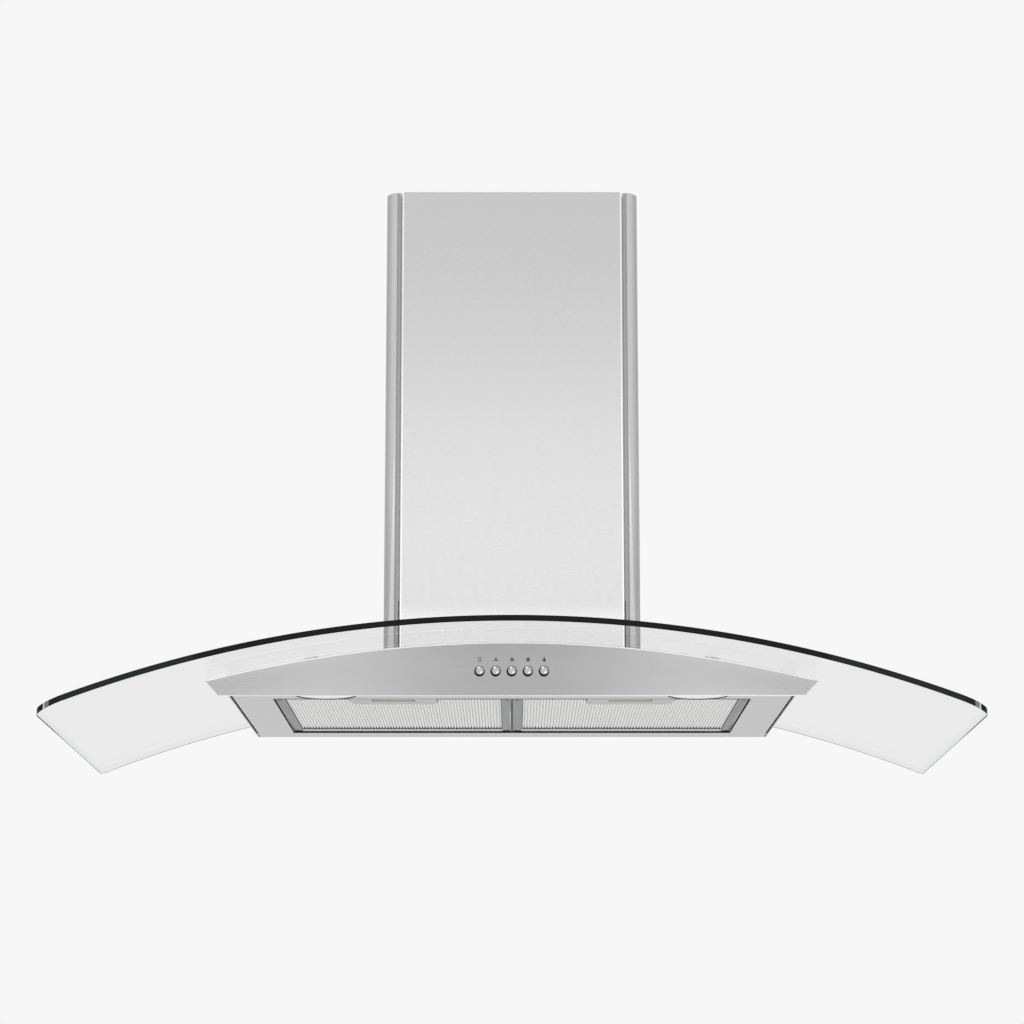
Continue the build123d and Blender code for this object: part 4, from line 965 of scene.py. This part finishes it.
def chimney_block(name, x0, x1, y1):
    """A block from the chimney's front to y1, whose foot stands just above the glass."""
    block = start_box(name, (x0, CHIMNEY_FRONT, 20), (x1, y1, CHIMNEY_TOP))
    cut_away(block, under_glass(-(GLASS_THICKNESS + FOOT_GAP)))
    return block


front = chimney_block("chimney_front", -FRONT_HALF, FRONT_HALF, CHIMNEY_FRONT + RETURN)
front_y = CHIMNEY_FRONT * MM + 1e-5
bevel(front, FRONT_ROUND, 5, lambda e: is_upright(e) and e.verts[0].co.y < front_y)
add_finishes(front, "chimney_steel", "polished_fold_painted_highlight")
# Painted highlight: the rounded side edges of the front panel get the near-white steel.
give_material(front, 1, lambda f: abs(f.normal.x) > 0.05 and f.normal.y < -0.05)
fold_to_sheet(front, CHIMNEY_SHEET, lambda f: f.normal.y > 0.9 or is_level(f))
close_piece(front, "hood", "brushed_steel", ["chimney_front_panel"])

# %% [markdown]
# ## Corner pieces of the chimney
# Each corner piece is one sheet: a flange at the wall, the flat side, a wide bend, a narrow shelf
# beside the front panel and a return. In plan that is a rounded block with a step, so the bend is
# a bevel of a block's edge and the step is cut away. The right one is the left one mirrored.

# %% Corner pieces of the chimney
BEND = 20.0
STRIP_END = 120.8
SHELF_END = 117.0
SHELF = CHIMNEY_FRONT + 4.0
RETURN_END = SHELF + 5
FLANGE = 12.0

corner = chimney_block("left_chimney_corner", -CHIMNEY_HALF, -90, 0)
outer_x = -CHIMNEY_HALF * MM + 1e-5
bevel(corner, BEND, 16, lambda e: is_upright(e) and e.verts[0].co.y < front_y
      and e.verts[0].co.x < outer_x)
cut_away(corner, start_box("step", (-STRIP_END, -300, 0), (0, SHELF, 600)))
cut_away(corner, start_box("inside", (-SHELF_END, -300, 0), (0, 10, 600)))
fold_x = -STRIP_END * MM
bevel(corner, 0.5, 2, lambda e: is_upright(e) and e.verts[0].co.y < (SHELF - 2) * MM
      and abs(e.verts[0].co.x - fold_x) < 1e-5)
bisect_at(corner, "Y", RETURN_END)
bisect_at(corner, "X", -CHIMNEY_HALF + FLANGE)


def is_missing(face):
    """Where the folded corner piece has no sheet: ends, inner side and middle of its back."""
    inner = face.normal.x > 0.9 and centre(face).y > RETURN_END + 0.1
    back = face.normal.y > 0.9 and centre(face).x > -CHIMNEY_HALF + FLANGE
    return is_level(face) or inner or back


add_finishes(corner, "bent_steel", "mill_shade_steel")
# Painted shade: the shelf, the return and the inner faces get the dark mill grey.
give_material(corner, 1, lambda f: centre(f).x > 0.01 - STRIP_END and f.normal.y < 0.5)
fold_to_sheet(corner, CHIMNEY_SHEET, is_missing)
twin = copy_to(corner, "right_chimney_corner")
enter(twin)
bpy.ops.transform.resize(value=(-1, 1, 1), center_override=(0, 0, 0))
bpy.ops.mesh.normals_make_consistent(inside=False)
leave()
for piece, hand in ((corner, "left"), (twin, "right")):
    close_piece(piece, "hood", "brushed_steel", [hand + "_chimney_side"], 20)

# %% [markdown]
# ## Inner chimney
# The upper cover slides up inside the lower one, to reach the ceiling. In plan it is a plain U
# with flanges at the wall, so a block with two rounded edges is enough, opened as above.

# %% Inner chimney
INNER_BEND = 11

low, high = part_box("upper_chimney")
inner = start_box("inner_chimney", low / MM, high / MM)
bevel(inner, INNER_BEND, 8, lambda e: is_upright(e) and e.verts[0].co.y < low.y + 1e-5)
bisect_at(inner, "X", low.x / MM + FLANGE)
bisect_at(inner, "X", high.x / MM - FLANGE)
fold_to_sheet(inner, CHIMNEY_SHEET, lambda f: is_level(f) or (
    f.normal.y > 0.9 and abs(centre(f).x) < high.x / MM - FLANGE))
add_finishes(inner, "chimney_steel")
close_piece(inner, "upper_chimney", "brushed_steel", ["upper_chimney"])

# %% [markdown]
# ## Underside
# The underside is a flat sheet with one large opening for both filters, whose rim is folded
# upwards, and two round holes for the lamps. Sheet and rim are joined into one block, the opening
# is cut through both, and the lower edges are rounded as folds are. The rounded side edges get a
# near-white copy of the steel as a painted highlight. A black rubber strip is put in the gap
# between the underside and each side of the body, as painted shade of that gap. Black rubber on
# the opening's back edge, where the filters' tongues rest, and on a thin strip in front of the
# opening is painted shade of the gaps there.

# %% Underside panel
PANEL_SIDE = 278.8
UNDER_FRONT = -384
UNDER_BACK = -1.5
OPENING_HALF = 239.5
OPENING_FRONT = -318.5
OPENING_BACK = -36.0
RIM_RISE = 8
LAMP_X = 184.5
LAMP_Y = -352.0
LAMP_HOLE = 30.7
SHADE_STRIP_WIDTH = 2.6
SHADE_STRIP_HALF = OPENING_HALF - 1

under = start_box("underside", (-PANEL_SIDE, UNDER_FRONT, 0), (PANEL_SIDE, UNDER_BACK, SHEET))
rim = start_box("rim", (-OPENING_HALF - SHEET, OPENING_FRONT - SHEET, 0),
                (OPENING_HALF + SHEET, OPENING_BACK - 6, RIM_RISE))
cut_away(under, rim, "UNION")
cut_away(under, start_box("opening", (-OPENING_HALF, OPENING_FRONT, -5),
                          (OPENING_HALF, OPENING_BACK, 20)))
for x in (-LAMP_X, LAMP_X):
    cut_away(under, start_rod("hole", LAMP_HOLE, (x, LAMP_Y, -5), (x, LAMP_Y, 5), 96))


def is_lower_rim(edge):
    """A sharp straight edge of the underside's lower face, but not of a lamp hole."""
    low = all(abs(v.co.z) < 1e-6 for v in edge.verts)
    return low and edge.calc_face_angle(0) > 1.0 and edge.calc_length() > 0.02


# Painted shade: the opening's back edge is drawn in black rubber.
def is_back_shade_strip(face):
    return face.normal.y < -0.3 and abs(centre(face).y - OPENING_BACK) < 1.5


def is_front_shade_strip(face):
    """The strip of the lower face just in front of the opening, drawn black as painted shade."""
    ahead = OPENING_FRONT - centre(face).y
    return face.normal.z < -0.3 and -1 < ahead < SHADE_STRIP_WIDTH and abs(centre(face).x) < SHADE_STRIP_HALF


def is_side_fold(face):
    """The rounded lower edge at each side, which gets the near-white steel as a painted highlight.
    """
    return abs(face.normal.x) > 0.2 and face.normal.z < -0.1 and abs(centre(face).x) > 270


bevel(under, 0.9, 3, is_lower_rim)
bisect_at(under, "Y", OPENING_FRONT - SHADE_STRIP_WIDTH)
for side in (-1, 1):
    bisect_at(under, "X", side * SHADE_STRIP_HALF)
add_finishes(under, "brushed_steel", "polished_fold_painted_highlight", "gasket_rubber")
# Painted shade: black rubber on the back edge of the opening and on the strip in front of it.
give_material(under, 2, is_back_shade_strip)
give_material(under, 2, is_front_shade_strip)
give_material(under, 1, is_side_fold)
close_piece(under, "hood", "brushed_steel", ["underside_panel"])

# %% Black strips of painted shade beside the underside
def close_pair(piece, name, step, body, slot, node=""):
    """Close a left piece and its copy on the right; {} stands for left or right."""
    twin = copy_to(piece, "right_" + name, step)
    for hand, one in (("left", piece), ("right", twin)):
        close_piece(one, body.format(hand), slot, [node.format(hand)] if node else ())


# Painted shade: a black rubber strip fills the gap at each side, where there is only shade.
seal = start_box("left_side_shade_strip", (-PANEL_SIDE - 1.9, UNDER_FRONT, 0.25),
                 (-PANEL_SIDE - 0.1, -30, 1.1))
bevel(seal, 0.2, 2, lambda e: e.calc_length() > 0.1)
add_finishes(seal, "gasket_rubber")
close_pair(seal, "side_shade_strip", 2 * PANEL_SIDE + 2, "hood", "black_plastic")

# %% [markdown]
# ## Lamps
# Each lamp is a frosted glass disc in a spun ring. The ring's bore gets black rubber as painted
# shade, which draws a dark outline round the glass. Both are round, so the lathe helper makes
# them.

# %% Lamp ring and lamp glass
ring_outline = [(29.4, 7), (29.4, 0.2), (30.4, -0.2), (30.6, -1), (31.1, -1), (31.5, -0.6),
                (31.5, 0), (30.4, 0.1), (30.4, 7), (29.4, 7)]
glass_outline = [(0, -0.95), (10, -0.93), (20, -0.85), (26, -0.7), (28.6, -0.45), (29.2, 0.1),
                 (29.2, 1.6), (0, 1.6)]


def is_shaded_bore(face):
    """A face of the lamp ring that looks towards the ring's axis; it gets black rubber as painted
    shade.
    """
    out = centre(face) - Vector((-LAMP_X, LAMP_Y, 0))
    return face.normal.x * out.x + face.normal.y * out.y < -0.3 * out.xy.length


ring = turned("left_lamp_ring", ring_outline, (-LAMP_X, LAMP_Y, 0), (0, 0, 1), 96)
add_finishes(ring, "lamp_metal", "gasket_rubber")
give_material(ring, 1, is_shaded_bore)
disc = turned("left_lamp_glass", glass_outline, (-LAMP_X, LAMP_Y, 0), (0, 0, 1), 96)
close_pair(ring, "lamp_ring", 2 * LAMP_X, "hood", "lamp_metal", "{}_lamp_bezel")
close_pair(disc, "lamp_glass", 2 * LAMP_X, "hood", "lamp_glass", "{}_lamp_lens")

# %% [markdown]
# ## Grease filters
# A filter is a pleated metal mesh in a folded aluminium frame, with a plastic latch let into the
# middle of its front edge and two tongues at the back. The frame is a block with a window cut
# through and its edges rounded; its long sides have a shallow groove, and their lower sides get a
# darker aluminium as painted shade. Its front border and the walls of the window lie in deep
# shade, which is painted on them in black. Both filters are alike, so the left one is made and
# copied to the right.

# %% Filter frame
FILTER_X = -119.2
FILTER_HALF = 118.7
BORDER = 10.0
CLEAR_HALF = FILTER_HALF - BORDER
FILTER_FRONT = -317.0
FILTER_BACK = -49.0
FILTER_LOW = 0.5
FILTER_HIGH = 6.7
WINDOW_FRONT = FILTER_FRONT + 6
WINDOW_BACK = FILTER_BACK - 14
LATCH_HALF = 43.5
LATCH_FRONT = -315.8
LATCH_BACK = -275.8
BEHIND_LATCH = -272.0


def filter_box(name, x0, x1, y0, y1, z0, z1):
    """A box at a place given from the middle of the left filter."""
    return start_box(name, (FILTER_X + x0, y0, z0), (FILTER_X + x1, y1, z1))


def off_middle(face):
    """How far the middle of a face is from the left filter's middle, sideways in mm."""
    return abs(centre(face).x - FILTER_X)


rim = filter_box("left_filter_rim", -FILTER_HALF, FILTER_HALF, FILTER_FRONT, FILTER_BACK,
                 FILTER_LOW, FILTER_HIGH)
cut_away(rim, filter_box("window", -CLEAR_HALF, CLEAR_HALF, WINDOW_FRONT, WINDOW_BACK, -5, 15))
cut_away(rim, filter_box("latch_seat", -LATCH_HALF - 0.2, LATCH_HALF + 0.2, LATCH_FRONT - 0.1,
                         LATCH_BACK + 0.2, -5, 5.7))
cut_away(rim, filter_box("tongue_slot", -12.6, 12.6, -319, -314, 2.1, 4.5))
for x in (-98, 98):
    tongue = filter_box("tongue", x - 6, x + 6, FILTER_BACK - 0.5, -28, 1.7, 2.9)
    cut_away(rim, tongue, "UNION")
bevel(rim, 0.5, 2, lambda e: e.calc_face_angle(0) > 1.0 and e.calc_length() > 0.02)
for side in (-CLEAR_HALF, CLEAR_HALF):
    bisect_at(rim, "X", FILTER_X + side)

# %% Groove and painted shade of the filter frame
def is_side_border(face):
    """The lower face of a long side border, which gets the groove."""
    return off_middle(face) > CLEAR_HALF + 0.2 and face.normal.z < -0.9


def is_shaded_window_wall(face):
    """The wall of the window, between the mesh and the border's lower face; it is painted black as
    shade.
    """
    y = centre(face).y
    inside = off_middle(face) < CLEAR_HALF + 0.01 and BEHIND_LATCH < y < WINDOW_BACK + 1
    return inside and abs(face.normal.z) < 0.3


def is_shaded_side_border(face):
    """The lower side of a side border, which gets the darker aluminium as painted shade."""
    return face.normal.z < -0.1 and off_middle(face) > CLEAR_HALF + 0.05


def is_shaded_front_border(face):
    """The lower side of the front border between the side borders; it is painted black as shade.
    """
    return (face.normal.z < -0.1 and centre(face).y < WINDOW_FRONT + 1
            and not is_shaded_side_border(face))


pick(rim, "FACE", is_side_border)
bpy.ops.mesh.inset(thickness=1.6 * MM, depth=-0.35 * MM)
leave()
add_finishes(rim, "filter_aluminium", "rim_aluminium", "black_plastic")
# Painted shade: the lower sides of the side borders get the darker aluminium.
give_material(rim, 1, is_shaded_side_border)
# Painted shade: black on the window walls and on the front border.
give_material(rim, 2, is_shaded_window_wall)
give_material(rim, 2, is_shaded_front_border)
print("filter frame", rim.dimensions)

# %% [markdown]
# ## Pleated mesh
# The mesh is fine aluminium net, pressed into narrow pleats. One strip is shaped along a wave and
# repeated by an array. A bump would be lighter, but has no outline at the mesh's edge.

# %% Pleated mesh
PLEAT = 3.12
PLEATS = 75
VALLEY = 1.6
CREST = 3.4
STEPS = 8
MESH_LENGTH = FILTER_BACK - FILTER_FRONT - 2.6
start_x = FILTER_X - PLEAT * PLEATS / 2

bpy.ops.mesh.primitive_grid_add(x_subdivisions=STEPS, y_subdivisions=1, size=1)
pleats = settle("left_filter_pleats",
                ((start_x + PLEAT / 2) * MM, (FILTER_FRONT + FILTER_BACK) / 2 * MM, VALLEY * MM),
                size=(PLEAT * MM, MESH_LENGTH * MM, 1))
for i in range(1, STEPS):
    x = (start_x + PLEAT * i / STEPS) * MM
    lift = (CREST - VALLEY) * (0.5 - 0.5 * math.cos(2 * math.pi * i / STEPS))
    pick(pleats, "VERT", lambda v: abs(v.co.x - x) < 1e-5)
    bpy.ops.transform.translate(value=(0, 0, lift * MM))
    leave()
use_modifier(pleats, "ARRAY", count=PLEATS, use_relative_offset=False, use_constant_offset=True,
             constant_offset_displace=(PLEAT * MM, 0, 0), use_merge_vertices=True,
             merge_threshold=1e-5)
use_modifier(pleats, "SOLIDIFY", thickness=0.4 * MM, offset=0)
cut_away(pleats, filter_box("latch_room", -LATCH_HALF - 0.5, LATCH_HALF + 0.5, -330,
                            LATCH_BACK + 0.5, -5, 15))

# %% [markdown]
# ## Latch housing
# The latch is a shallow moulded tray with clipped back corners, and a finger pulls the slide back
# in its pocket. The box is bevelled before the cuts, since the cuts have sharp edges.

# %% Latch housing
latch = filter_box("left_latch_body", -LATCH_HALF, LATCH_HALF, LATCH_FRONT, LATCH_BACK, 0.1, 5.6)
bevel(latch, 7, 1, lambda e: is_upright(e) and e.verts[0].co.y > -0.3)
bevel(latch, 0.7, 2, lambda e: e.calc_face_angle(0) > 0.5)
cut_away(latch, filter_box("slide_room", -25.3, 25.3, -314.2, -277.4, 2.2, 4.4))
cut_away(latch, filter_box("pocket", -22, 22, -313.2, -297.2, -1, 2.5))
cut_away(latch, filter_box("tongue_way", -12.3, 12.3, -317, -312.6, 2.2, 4.4))

# %% Both filters
for piece, name, slot, node in (
        (rim, "filter_rim", "filter_aluminium", "{}_filter_frame"),
        (pleats, "filter_pleats", "mesh_aluminium", "{}_filter_mesh"),
        (latch, "latch_body", "latch_plastic", "{}_latch_housing")):
    close_pair(piece, name, -2 * FILTER_X, "{}_filter", slot, node)
